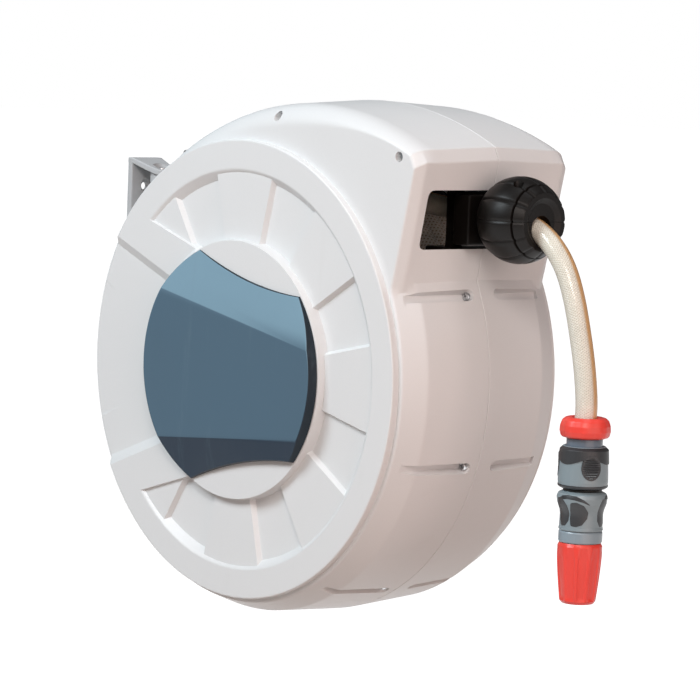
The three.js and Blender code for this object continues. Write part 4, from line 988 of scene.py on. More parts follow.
@dataclass
class Studio:
    """Camera, floor and lights."""

    target: Place = (131.6, -87.0, 28.2)
    distance: float = 2520.0
    azimuth: float = 47.309
    elevation: float = 5.4455
    roll: float = 2.3078
    lens: float = 171.95
    floor_drop: float = 0.62
    floor_half: float = 30.0
    ambient: float = 0.16

    def build(self) -> None:
        """Makes the camera first, then the floor, the world and the lamps."""
        self.camera()
        self.floor()
        self.world()
        self.lamp("key", (-0.6, -2.05, 1.8), size=1.1, power=58.0, colour=paint(238, 249, 255))
        self.lamp("top", (0.4, 0.1, 2.3), size=1.2, power=9.0, colour=paint(250, 252, 255))
        self.lamp("warm side", (2.45, -0.45, 0.5), size=2.2, power=28.0, colour=paint(255, 226, 216))
        self.lamp("fill", (1.55, -1.6, 1.35), size=0.7, power=22.0, colour=paint(255, 244, 238))

    def camera(self) -> None:
        """Places the camera and makes it the scene's."""
        a, e, roll = (math.radians(v) for v in (self.azimuth, self.elevation, self.roll))
        back = Vector((math.sin(a) * math.cos(e), -math.cos(a) * math.cos(e), math.sin(e)))
        right = Vector((math.cos(a), math.sin(a), 0.0))
        up = back.cross(right)
        leaned = right * math.cos(roll) + up * math.sin(roll)
        upright = up * math.cos(roll) - right * math.sin(roll)
        data = bpy.data.cameras.new("camera")
        data.lens = self.lens
        camera = bpy.data.objects.new("camera", data)
        axes = Matrix((leaned, upright, back)).transposed().to_4x4()
        place = TO_MODEL @ (Vector(self.target) + back * self.distance)
        camera.matrix_world = Matrix.Translation(place) @ axes
        bpy.context.collection.objects.link(camera)
        bpy.context.scene.camera = camera

    def floor(self) -> None:
        """A pale floor well below the hanging reel."""
        bm = bmesh.new()
        bmesh.ops.create_grid(bm, x_segments=1, y_segments=1, size=self.floor_half)
        bmesh.ops.translate(bm, vec=(0, 0, CAD_BOX[0].z - self.floor_drop), verts=bm.verts)
        mesh = bpy.data.meshes.new("floor")
        bm.to_mesh(mesh)
        bm.free()
        material = bpy.data.materials.new("floor paint")
        wire = Wiring.fresh(material)
        rays = wire.add("ShaderNodeLightPath").outputs
        seen = wire.maths("MAXIMUM", rays["Is Camera Ray"], rays["Is Glossy Ray"])
        tone = wire.mix(seen, paint(168, 148, 136), paint(226, 226, 226))
        shader = wire.add("ShaderNodeBsdfPrincipled", {
            "Base Color": tone, "Roughness": 0.9, "Emission Color": WHITE, "Emission Strength": seen,
        })
        wire.add("ShaderNodeOutputMaterial", {"Surface": shader.outputs[0]})
        mesh.materials.append(material)
        floor = bpy.data.objects.new("floor", mesh)
        bpy.context.collection.objects.link(floor)

    def world(self) -> None:
        """White behind the object, and a softer light on it."""
        world = bpy.data.worlds.new("studio")
        wire = Wiring.fresh(world)
        rays = wire.add("ShaderNodeLightPath").outputs
        seen = wire.maths("MAXIMUM", rays["Is Camera Ray"], rays["Is Transmission Ray"])
        light = wire.add("ShaderNodeBackground", {"Color": paint(250, 250, 252), "Strength": self.ambient})
        white = wire.add("ShaderNodeBackground", {"Color": WHITE, "Strength": 1.0})
        mixed = wire.add("ShaderNodeMixShader", {0: seen, 1: light.outputs[0], 2: white.outputs[0]})
        wire.add("ShaderNodeOutputWorld", {"Surface": mixed.outputs[0]})
        bpy.context.scene.world = world
        bpy.context.scene.view_settings.view_transform = "Standard"

    def lamp(self, name: str, place: Place, size: float, power: float, colour: Colour) -> None:
        """A square lamp that faces the reel.

        Args:
            name: of the lamp.
            place: in metres from the drum's axis.
            size: of its side, in metres.
            power: in watts.
            colour: of its light.
        """
        data = bpy.data.lights.new(name, "AREA")
        data.size, data.energy, data.color = size, power, colour[:3]
        lamp = bpy.data.objects.new(name, data)
        at = Vector(place) + Vector((AXLE.x, 0.0, AXLE.z))
        aim = (AXLE - at).to_track_quat("-Z", "Y")
        lamp.matrix_world = Matrix.Translation(at) @ aim.to_matrix().to_4x4()
        bpy.context.collection.objects.link(lamp)


# ---- casing


@dataclass
class Casing:
    """The two shells and their side discs."""

    barrel: float = 195.0
    wall: float = 3.0
    head_rise: float = 19.5
    head_start: float = 126.0
    face_x: float = 185.5
    face_lean: float = 11.0
    corner: float = 7.0
    chamfer: float = 8.5
    fillet: float = 20.5
    front_ease: float = 12.0
    front_bevel: float = 6.5
    shoulder: float = 21.0
    draft: float = 3.5
    head_blend: Point = (-14.0, 20.0)
    brow_reach: float = 34.0
    side_inner: float = SIDE_INNER
    side_outer: float = SIDE_OUTER
    disc: float = 180.0
    disc_face: float = 87.0
    hub_face: float = 91.0
    ring_outer: float = 155.0
    ring_inner: float = 101.5
    ring_floor: float = 80.9
    panel_height: float = 3.9
    bay_depth: float = 5.5
    bay_pocket: float = 1.6
    panel_angle: float = 26.0
    panel_pitch: float = 45.0
    arm_foot: float = 2.6
    panel_foot: float = 1.0
    bay_foot: float = 5.6
    pocket_foot: float = 3.6
    window_z: float = WINDOW_Z
    window_half: float = 65.0
    window_height: float = WINDOW_HEIGHT
    window_corner: float = 6.0
    channel_width: float = 5.8
    channel_depth: float = 8.6
    channel_angles: tuple[float, ...] = (21.8, -18.0, -59.0, -115.0, -158.0)
    left_channel: Point = (9.0, 80.0)
    right_channel: Point = (17.0, 66.0)
    right_bosses: float = 40.0
    head_screws: tuple[Point, ...] = ((-97.04, 163.92), (29.34, 199.74), (170.26, 175.87))
    screw_well: float = 4.0
    head_seat: float = 62.0
    boss_depth: float = 9.0
    inlet_hole: float = 16.3
    pin_x: float = -205.0
    knuckle_radius: float = 9.5
    knuckle_length: float = 30.0
    knuckle_bottom: float = -26.0
    knuckle_top: float = 134.0
    pin_radius: float = 4.3
    arm: tuple[Point, ...] = ((-20, 80), (-44, 87.3), (-109, 108.2), (-200, 137))
    bay: tuple[Point, ...] = ((-60, 54), (-83, 63), (-151, 90), (-200, 109.5))
    pocket: tuple[Point, ...] = ((-200, 70), (-132, 37.5), (-122.5, 24))
    seam: tuple[Point, ...] = ((GAP / 2, 0.4), (0.5, 0.1), (0.9, 0.0))
    plain_depths: tuple[float, ...] = (12.0, 28.0, 44.0, 56.0)
    turn_steps: tuple[float, ...] = (
        -0.12, -0.06, 0.0, 0.06, 0.12, 0.2, 0.3, 0.4, 0.48, 0.54, 0.6,
        0.66, 0.72, 0.8, 0.86, 0.92, 0.945, 0.965, 0.98, 0.992, 1.0,
    )
    end_scale: float = 0.93

    def build(self) -> None:
        """Makes both shells."""
        left_seat = self.head_seat - self.boss_depth
        low, high = self.knuckle_bottom + GAP, self.knuckle_top - GAP - self.knuckle_length
        right = self.half(self.right_channel, self.right_bosses, low, self.right_holes())
        left = self.half(self.left_channel, left_seat, high, self.left_holes()).mirrored()
        for side, shell in (("left", left), ("right", right)):
            shell.publish(
                f"casing_shell_{side}", CASING_PLASTIC, Body.CASING, [f"casing_{side}"], crease=26.0,
            )

    # The outline at the seam, and how the casing narrows away from it.

    def face_meets(self, x: float, z: float, radius: float) -> Point:
        """Where the leaning front face meets a circle, above its centre.

        Args:
            x: of the circle's centre.
            z: of the circle's centre.
            radius: of the circle.

        Returns:
            The point.
        """
        slope = math.tan(math.radians(self.face_lean))
        foot = self.face_x - self.window_z * slope - x
        a, b, c = 1 + slope**2, foot * slope - z, foot**2 + z**2 - radius**2
        at = (-b + math.sqrt(b * b - a * c)) / a
        return self.face_x + (at - self.window_z) * slope, at

    def outline(self) -> Outline:
        """The casing at its seam, anticlockwise from the front face's foot."""
        slope = math.tan(math.radians(self.face_lean))
        start = math.radians(self.head_start)
        radius = self.barrel + self.head_rise / (1 - math.sin(start))
        centre = ((self.barrel - radius) * math.cos(start), (self.barrel - radius) * math.sin(start))
        throat, brow = self.face_meets(0, 0, self.barrel), self.face_meets(*centre, radius)
        self.throat = math.degrees(math.atan2(throat[1], throat[0]))
        self.brow = math.degrees(math.atan2(brow[1], brow[0]))
        barrel = arc((0, 0), self.barrel, self.head_start, self.throat + 360, 150)
        brow_turn = math.degrees(math.atan2(brow[1] - centre[1], brow[0] - centre[0]))
        top_end = brow_turn + math.degrees(self.corner / radius)
        top = arc(centre, radius, top_end, self.head_start, 44)
        low = (brow[0] - self.corner * slope, brow[1] - self.corner)
        face = [
            (throat[0] + (low[0] - throat[0]) * t / 8, throat[1] + (low[1] - throat[1]) * t / 8)
            for t in range(9)
        ]
        corner = (face[-1], top[0])
        whole = [*face, *top[:-1], *barrel[:-1]]
        return eased(whole, 3.0, 4, lambda p: p not in corner)

    def narrowing(self, depth: float, degrees: float) -> float:
        """How far the casing has narrowed.

        Args:
            depth: from the seam.
            degrees: around the drum's axis.

        Returns:
            The distance.
        """
        start = self.side_outer - self.shoulder
        early = self.draft * min(depth, start) / start
        late = max(0.0, (depth - start) / self.shoulder)
        over = smoothstep(degrees, self.brow - 1, self.brow + 2)
        over *= 1 - smoothstep(degrees, *(self.head_start + off for off in self.head_blend))
        on_face = smoothstep(degrees, self.throat - 1.5, self.throat + 0.5) * (degrees < self.brow + 1)
        edge = self.edge_round(late)
        chamfer = self.chamfer * self.eased_start(late, 0.12) + edge
        behind = smoothstep(degrees, self.brow, self.brow + self.brow_reach)
        rise = self.fillet - self.front_ease * (1 - behind)
        fillet = rise * (1 - math.sqrt(max(0.0, 1 - late**2)))
        bevel = self.front_bevel * self.eased_start((late - 0.6) / 0.4, 0.15) + edge
        side = chamfer + (bevel - chamfer) * on_face
        return early + side + (fillet - side) * over

    @staticmethod
    def eased_start(value: float, soft: float) -> float:
        """A straight rise from 0, with a soft start."""
        if value <= -soft:
            return 0.0
        if value < soft:
            return (value + soft) ** 2 / (4 * soft)
        return value

    def edge_round(self, late: float, radius: float = 1.6) -> float:
        """What the rounding at the side wall's edge takes away."""
        left = (1 - late) * self.shoulder
        return radius - math.sqrt(radius**2 - (radius - left) ** 2) if left < radius else 0.0

    def ring(self, depth: float, allowance: float, outline: Outline) -> list[Vector]:
        """The outline, narrowed for a depth.

        Args:
            depth: from the seam.
            allowance: how far it is moved in besides.
            outline: the casing at its seam.

        Returns:
            The ring.
        """
        made = []
        for x, z in outline:
            radius = math.hypot(x, z)
            degrees = math.degrees(math.atan2(z, x)) % 360
            inner = radius - self.narrowing(min(max(depth, 0.0), self.side_outer), degrees) - allowance
            made.append(Vector((x * inner / radius, depth, z * inner / radius)))
        return made

    def outside(self) -> Form:
        """The half casing as a solid, with the seam's small groove."""
        outline = self.outline()
        turn = [self.side_outer - self.shoulder * (1 - t) for t in self.turn_steps]
        run = [(depth, 0.0) for depth in (*self.plain_depths, *turn)]
        rings = [self.ring(depth, allowance, outline) for depth, allowance in (*self.seam, *run)]
        rings.append([Vector((p.x * self.end_scale, p.y, p.z * self.end_scale)) for p in rings[-1]])
        return Form.lofted(rings)

    def inside(self, allowance: float, start: float = -1.0, beyond: float = 0.0) -> Form:
        """The room inside the half casing.

        Args:
            allowance: between the casing's outer face and the room.
            start: where the room begins, from the seam.
            beyond: how far it reaches into the side wall.

        Returns:
            The form.
        """
        depths = (start, 30.0, 60.0, 66.0, 72.0, 76.0, self.side_inner + beyond)
        return Form.lofted([self.ring(depth, allowance, self.outline()[::2]) for depth in depths])

    # The side disc.

    def side_disc(self) -> Form:
        """The disc with its hub, its sunk ring, its panels, arms and bay."""
        foot = self.side_inner + self.wall / 2
        profile = eased([
            (0, foot), (self.disc, foot), (self.disc, self.disc_face),
            (self.ring_inner + 4, self.disc_face), (self.ring_inner, self.hub_face), (0, self.hub_face),
        ], 1.6, 4, lambda p: p[0] == 0 or p[1] == foot)
        disc = Form.spun(profile, 180)
        top = self.hub_face + 2
        well = Form.spun([
            (self.ring_inner - 0.4, top), (self.ring_inner + 1.2, self.ring_floor),
            (self.ring_outer - 4.8, self.ring_floor), (self.ring_outer + 1.2, self.disc_face - 0.6),
            (self.ring_outer + 3.0, self.disc_face), (self.ring_outer + 9, top),
        ], 180)
        arms = self.walled(both_sides(self.arm), -self.arm_foot, self.ring_floor - 1, top + 1, 4.0)
        panels = []
        for step in range(-3, 4):
            middle = step * self.panel_pitch
            spread = self.panel_angle / 2
            outline = arc((0, 0), self.ring_outer + 9, middle - spread, middle + spread, 10)
            outline += arc((0, 0), self.ring_inner - 9, middle + spread, middle - spread, 10)
            panel_top = self.ring_floor + self.panel_height
            panels.append(self.walled(outline, -self.panel_foot, self.ring_floor - 1, panel_top, 3.2))
        well.cut(arms, *panels)
        hub = rod(self.ring_inner + 0.5, self.side_inner, top + 1, 180)
        bay_floor = self.disc_face - self.bay_depth
        bay = self.walled(both_sides(self.bay), self.bay_foot, bay_floor, top, -18.2).cut(hub)
        pocket_floor = bay_floor - self.bay_pocket
        pocket = self.walled(
            both_sides(self.pocket), self.pocket_foot, pocket_floor, bay_floor + 0.1, -3.6,
        ).cut(hub)
        disc.cut(well, bay, pocket)
        bm = disc.bm
        bmesh.ops.remove_doubles(bm, verts=bm.verts, dist=0.15)
        bmesh.ops.dissolve_limit(bm, angle_limit=math.radians(0.5), verts=bm.verts, edges=bm.edges)
        return disc

    @staticmethod
    def walled(outline: Outline, foot: float, low: float, high: float, lean: float) -> Form:
        """A form with leaning walls.

        Args:
            outline: where the walls are meant to stand.
            foot: how far inside it they start.
            low: where they start.
            high: where they end.
            lean: how far they lean inwards on the way.

        Returns:
            The form.
        """
        return Form.prism(inset(outline, foot), low, high, lean)

    def hollows(self) -> Form:
        """Room behind the disc's outer band and behind the hub."""
        low, high = self.side_inner - 1, self.disc_face - self.wall
        band = sleeve(self.ring_outer + 5, self.disc - self.wall, low, high, 96)
        behind = rod(self.ring_inner - self.wall, low, self.hub_face - self.wall, 96)
        bay = Form.prism(both_sides(self.bay), 0, self.hub_face)
        return Form.together(band.cut(bay), behind)

    # Shell parts.

    def channel(self, start: float, end: float) -> Form:
        """One sunk channel across the rim, with a round end at the screw.

        Args:
            start: of the channel, from the seam.
            end: of the channel.

        Returns:
            The cutting form, laid along X.
        """
        half = self.channel_width / 2
        floor = self.barrel - self.channel_depth
        round_end = arc((start + half, 0), half, 90, 270, 12)
        outline = [(-y, z) for y, z in (*round_end, (end, -half), (end, half))]
        return Form.prism(outline, floor, self.barrel + 3, -2.6).along_x()

    def channel_back(self, end: float) -> Form:
        """The material behind a channel."""
        floor = self.barrel - self.channel_depth - self.wall
        half = self.channel_width / 2 + 1.2 * self.wall
        return Form.block((floor, self.barrel + 1), (GAP / 2, end + self.wall), (-half, half))

    def window(self) -> Form:
        """The cut for the hose guide's window."""
        half = self.window_height / 2
        wide = self.window_half
        corners = eased([(-wide, -half), (wide, -half), (wide, half), (-wide, half)], self.window_corner, 5)
        cut = Form.prism(corners, self.face_x - 40, self.face_x + 25)
        return cut.along_x().moved(0, 0, self.window_z)

    def left_holes(self) -> list[Form]:
        """Wells for the heads of the top screws."""
        return self.at_head_screws(self.screw_well, self.head_seat, self.hub_face)

    def at_head_screws(self, radius: float, low: float, high: float) -> list[Form]:
        """A bar on the axis of each top screw."""
        return [rod(radius, low, high, 32).moved(x, 0, z) for x, z in self.head_screws]

    def right_holes(self) -> list[Form]:
        """The way through for the water inlet."""
        return [rod(self.inlet_hole, 0, self.hub_face + 1, 64)]

    def knuckle(self, bottom: float) -> Form:
        """A hinge knuckle with its web.

        Args:
            bottom: its lower end.

        Returns:
            The form.
        """
        top = bottom + self.knuckle_length
        ring = rod(self.knuckle_radius, bottom, top, 48, 0.8).along_z().moved(self.pin_x, 0, 0)
        span = (self.pin_x, -self.barrel * 0.6)
        web = Form.block(span, (GAP / 2, self.knuckle_radius), (bottom, top), 0.8)
        return ring.joined(web.cut(self.inside(self.wall)))

    def half(self, channel: Point, boss_start: float, bottom: float, holes: list[Form]) -> Form:
        """One shell, drawn with its depth along +Y.

        Args:
            channel: start and end of the rim's channels.
            boss_start: where the top screws' bosses begin.
            bottom: lower end of the knuckle.
            holes: further cuts.

        Returns:
            The form.
        """
        outside = self.outside()
        backs = [self.channel_back(channel[1]).swung(angle) for angle in self.channel_angles]
        bosses = self.at_head_screws(self.screw_well + 3.5, boss_start, self.side_outer)
        inner = Form.together(*backs, *bosses).kept_in(self.inside(self.wall / 2, GAP, self.wall / 2))
        slots = [self.channel(*channel).swung(angle) for angle in self.channel_angles]
        shell = outside.cut(self.inside(self.wall)).joined(inner, self.side_disc())
        shell.cut(self.hollows(), Form.together(*slots, self.window(), *holes))
        shell.joined(self.knuckle(bottom))
        swivel = rod(self.pin_radius, -400, 400, 32).along_z().moved(self.pin_x, 0, 0)
        return shell.cut(swivel)


@dataclass
class Cap:
    """The two hub covers, each with three facets."""

    radius: float = 100.5
    base: float = 91.3
    height: float = 8.0
    fall: float = 7.2
    facet: float = 40.0
    folds: tuple[Point, ...] = ((67.0, 22.0), (-66.0, -43.0))
    sag: float = 12.0
    soft: float = 1.1
    front_arc: float = 39.5
    rear_arc: float = 115.0
    inlet: float = 16.6
    notch: float = 21.0

    def build(self) -> None:
        """Makes both covers."""
        left = self.cover().mirrored()
        notch = Form.block((-self.notch, self.notch), (80, 110), (-self.radius - 1, 0))
        right = self.cover().cut(rod(self.inlet, 80, 110, 64).joined(notch))
        for side, cover in (("left", left), ("right", right)):
            cover.publish(f"hub_cap_{side}", CAP_PLASTIC, Body.CASING, [f"cap_{side}"], folds=4.0)

    def outline(self) -> Outline:
        """Two arcs joined by two hollow edges."""
        right = arc((0, 0), self.radius, -self.front_arc, self.front_arc, 40)
        left = arc((0, 0), self.radius, self.rear_arc, 360 - self.rear_arc, 64)

        def edge(first: Point, last: Point, bend: float) -> Outline:
            """A hollow edge between two points."""
            middle = ((first[0] + last[0]) / 2, (first[1] + last[1]) / 2 + bend)
            spots = [k / 20 for k in range(1, 20)]
            return [
                tuple(first[i] * (1 - t) ** 2 + middle[i] * 2 * t * (1 - t) + last[i] * t**2 for i in (0, 1))
                for t in spots
            ]

        return [*right, *edge(right[-1], left[0], -self.sag), *left, *edge(left[-1], right[0], self.sag)]

    def cover(self) -> Form:
        """One cover, drawn towards +Y."""
        top = self.base + self.height
        form = Form.prism(self.outline(), self.base, top, 1.2)
        for rear, front in self.folds:
            side = math.copysign(1.0, rear)
            near, far = Vector((-130, top, rear)), Vector((110, top, front))
            normal = (far - near).cross(Vector((0, -self.fall, self.facet * side))) * side
            form.planed(near, -normal if normal.y < 0 else normal)
        form.mended(0.05)
        return form.softened(self.soft, 3, 40.0, lambda e: all(v.co.y > self.base + 0.5 for v in e.verts))


# ---- screws


@dataclass
class Screws:
    """The casing's screws and the ball's: pan heads with a crossed recess."""

    head: float = 3.2
    height: float = 2.6
    shank: float = 1.8
    length: float = 22.0
    ball_length: float = 20.0
    recess: Point = (2.1, 0.42)

    def build(self, casing: Casing, ball_place: Vector) -> None:
        """Places every screw.

        Args:
            casing: what the screws hold together.
            ball_place: the seat of the ball's screw.
        """
        radius = casing.barrel - casing.channel_depth + self.head + GAP
        for i, angle in enumerate(casing.channel_angles, 1):
            placed = self.screw(self.length).moved(radius, -casing.left_channel[0] - GAP, 0).swung(angle)
            placed.publish(f"rim_screw_{i}_zinc", ZINC, Body.CASING, [f"rim_screw_{i}"])
        for i, (x, z) in enumerate(casing.head_screws, 1):
            placed = self.screw(self.length).moved(x, -casing.head_seat - GAP, z)
            placed.publish(f"top_screw_{i}_zinc", ZINC, Body.CASING, [f"top_screw_{i}"])
        standing = self.screw(self.ball_length).turned(-90, "X").moved(*ball_place)
        standing.publish("ball_screw_zinc", ZINC, Body.GUIDE, ["ball_screw"])

    def screw(self, length: float) -> Form:
        """A screw with its head seated at 0 and its shank towards +Y.

        Args:
            length: of the shank.

        Returns:
            The form.
        """
        top, deep = -self.height - 1, -self.height * 0.4
        long, thin = self.recess
        arms = [Form.block((-x, x), (top, deep), (-z, z)) for x, z in ((long, thin), (thin, long))]
        return Form.spun([
            (0, -self.height), (self.head, -self.height), (self.head, 0), (self.shank, 0),
            (self.shank, length), (0, length),
        ], 40, 1.1, 4).cut(arms[0].joined(arms[1]))


# ---- bracket


@dataclass
class Bracket:
    """The wall bracket and its swivel pin."""

    height: float = 200.0
    width: float = 32.0
    thickness: float = 6.0
    pin_from_wall: float = 26.0
    ear_slope: float = 0.32
    ear: float = 5.0
    tip: float = 12.0
    boss_drop: float = 20.0
    pin: float = 4.0
    pin_head: float = 7.0
    holes: tuple[float, ...] = (-76.0, -30.0, 30.0, 76.0)
    hole: float = 3.2
    sink: float = 6.4
    clip_groove: float = 0.9

    def build(self) -> None:
        """Makes the bracket and the pin."""
        low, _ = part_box("wall_bracket")
        self.offset = (low.x / MM - AXLE.x / MM, -AXLE.z / MM)
        self.put(self.bracket(), "wall_bracket_moulding", BRACKET_PLASTIC, "wall_bracket")
        self.put(self.swivel_pin(), "swivel_pin_zinc", ZINC, "swivel_pin")

    def put(self, form: Form, name: str, finish: Finish, node: str) -> None:
        """Moves a form drawn from the middle of the wall face into place, and publishes it."""
        form.moved(self.offset[0], 0, self.offset[1]).publish(name, finish, Body.BRACKET, [node])

    @property
    def seat(self) -> float:
        """Height of the pin's head above the bracket's middle."""
        return self.height / 2 - (self.pin_from_wall + self.pin_head) * self.ear_slope

    def bracket(self) -> Form:
        """Plate, ears and bosses."""
        half, end = self.width / 2, self.height / 2
        reach = self.pin_from_wall + self.tip
        fall = (reach - self.thickness) * self.ear_slope
        plate = Form.block((0, self.thickness), (-half, half), (-end, end), 1.4)
        plan = [(0, -half), (self.thickness, -half), *arc((self.pin_from_wall, 0), self.tip, -80, 80, 24),
                (self.thickness, half), (0, half)]
        column = Form.prism([(x, -y) for x, y in plan], -end, end).turned(90, "X")
        ears = []
        for side in (1, -1):
            places = (
                (0, end), (self.thickness, end), (reach, end - fall), (reach, end - fall - self.ear),
                (self.thickness, end - self.ear), (0, end - self.ear),
            )
            profile = [(x, side * z) for x, z in places]
            ears.append(Form.prism(profile, -half, half).kept_in(column).mended(0.02).softened(0.9, 3, 35.0))
        bosses = [
            self.on_pin(rod(self.tip - 2.5, low, high, 48, 0.8))
            for low, high in ((end - self.boss_drop, self.seat), (-self.seat, self.boss_drop - end))
        ]
        bore = self.on_pin(rod(self.pin + GAP, -end - 1, end + 1, 48))
        room = [
            self.on_pin(rod(self.pin_head + GAP, low, high, 48))
            for low, high in ((self.seat, end + 1), (-end - 1, -self.seat))
        ]
        face = self.thickness
        sink = [
            (0, -1), (self.hole, -1), (self.hole, face - 3), (self.sink, face + 0.2),
            (self.sink, face + 1), (0, face + 1),
        ]
        sinks = [Form.spun(sink, 48).along_x().moved(0, 0, z) for z in self.holes]
        return plate.joined(*ears, *bosses).cut(bore, *room, Form.together(*sinks))

    def on_pin(self, form: Form) -> Form:
        """Stands a form drawn along Y up on the pin's axis."""
        return form.along_z().moved(self.pin_from_wall, 0, 0)

    def swivel_pin(self) -> Form:
        """The pin, with its head above and its clip groove below."""
        seat, groove = self.seat, self.pin - self.clip_groove
        return self.on_pin(Form.spun([
            (0, -seat - 4), (self.pin, -seat - 4), (self.pin, -seat - 2.6), (groove, -seat - 2.6),
            (groove, -seat - GAP), (self.pin, -seat - GAP), (self.pin, seat + GAP),
            (self.pin_head, seat + GAP), (self.pin_head, seat + 3), (0, seat + 3),
        ], 48, 0.6, 2))


# ---- hose


@dataclass
class HoseLine:
    """The hose: its wound turns, the run to the guide and the free end."""

    radius: float = HOSE_RADIUS
    hub: float = HUB_RADIUS
    half_width: float = DRUM_HALF_WIDTH
    layers: int = 5
    turns: int = 7
    extra_turns: float = 2.85
    beside_run: float = 2.2
    turn_steps: int = 60
    wrap_steps: int = 16
    run_steps: int = 12
    eye_x: float = EYE_X
    eye_z: float = EYE_Z
    guide_wall: float = 3.0
    wrap: float = 48.0
    route: tuple[Point, ...] = (
        (0, 0), (24, -0.3), (42, -3.2), (57, -9.5), (71, -20), (82.5, -34.5), (91.5, -54), (99.5, -80),
        (105.5, -105), (109, -129), (109, -142),
    )

    @property
    def pack(self) -> float:
        """Radius of the full layers."""
        return self.hub + self.layers * 2 * self.radius

    @property
    def start(self) -> Vector:
        """Where the free hose begins, in the guide's eye."""
        return Vector((self.eye_x - self.guide_wall + GAP / 2, 0, self.eye_z))

    def free_path(self) -> list[Vector]:
        """The free hose's centre line."""
        return catmull_rom([self.start + Vector((x, 0, z)) for x, z in self.route], 5)

    def build_free(self) -> Piece:
        """The free hose, from the guide's eye to its fittings."""
        tube = Form.tube(self.free_path(), self.radius, 40)
        return tube.publish("free_hose", HOSE, Body.GUIDE, ["hose_tail"])

    def declare(self) -> None:
        """Works out the free hose's centre line in metres, and keeps nothing of it.
        """
        path = [TO_MODEL @ p for p in self.free_path()]

    def build_inside(self) -> None:
        """The wound turns and the run to the guide's eye."""
        layer = self.pack + self.radius + GAP
        reach = math.hypot(self.eye_x, self.eye_z)
        leave = math.atan2(self.eye_z, self.eye_x) + math.acos(layer / reach)
        start = math.degrees(leave) + self.wrap
        first = Vector((layer * math.cos(leave), 0, layer * math.sin(leave)))
        slope = (self.eye_z - first.z) / (self.eye_x - first.x)
        straight = self.eye_x - self.guide_wall - 3 * GAP - first.x
        run = [Vector((x, 0, z)) for x, z in arc((0, 0), layer, start, math.degrees(leave), self.wrap_steps)]
        for k in range(1, self.run_steps + 1):
            ahead = straight * k / self.run_steps
            run.append(Vector((first.x + ahead, 0, first.z + slope * ahead)))
        Form.tube(run, self.radius, 32).publish("hose_run_inside", HOSE, Body.GUIDE, ["hose_run"])
        edge, laps, wound = self.half_width - self.radius, self.turns - 1, self.radius - 0.02
        outer = self.coil(self.pack - self.radius, 0.0, laps, lambda turn: edge * (2 * turn / laps - 1))
        Form.tube(outer, wound, 20).publish("hose_outer_layer", WOUND_HOSE_PAINTED_LIGHT, Body.DRUM, ["hose_pack"])
        end = self.half_width - GAP
        core = sleeve(self.hub + GAP, self.pack - 1.9 * self.radius, -end, end)
        core.publish("hose_inner_layers", DARK_PLASTIC, Body.DRUM)
        over = self.coil(layer, start, self.extra_turns, self.beside, 2)
        Form.tube(over, wound, 24).publish("hose_next_layer", WOUND_HOSE_PAINTED_LIGHT, Body.DRUM)

    def beside(self, turn: float) -> float:
        """How far along Y the next layer has gone, beside the run to the guide, after some turns."""
        return 2 * self.radius * turn + self.beside_run * smoothstep(turn, 0.0, 0.3)

    def coil(
        self, radius: float, start: float, turns: float, along: Callable[[float], float], skipped: int = 0,
    ) -> list[Vector]:
        """Points of a coil about the drum's axis.

        Args:
            radius: of the coil.
            start: bearing of its first point, in degrees.
            turns: how many times it goes round.
            along: gives the place along Y after a number of turns.
            skipped: points that are left out at its start.

        Returns:
            The points.
        """
        steps = int(turns * self.turn_steps)
        made = []
        for k in range(skipped, steps + 1):
            turn = turns * k / steps
            angle = math.radians(start) + math.tau * turn
            made.append(Vector((radius * math.cos(angle), along(turn), radius * math.sin(angle))))
        return made


# ---- ball stop


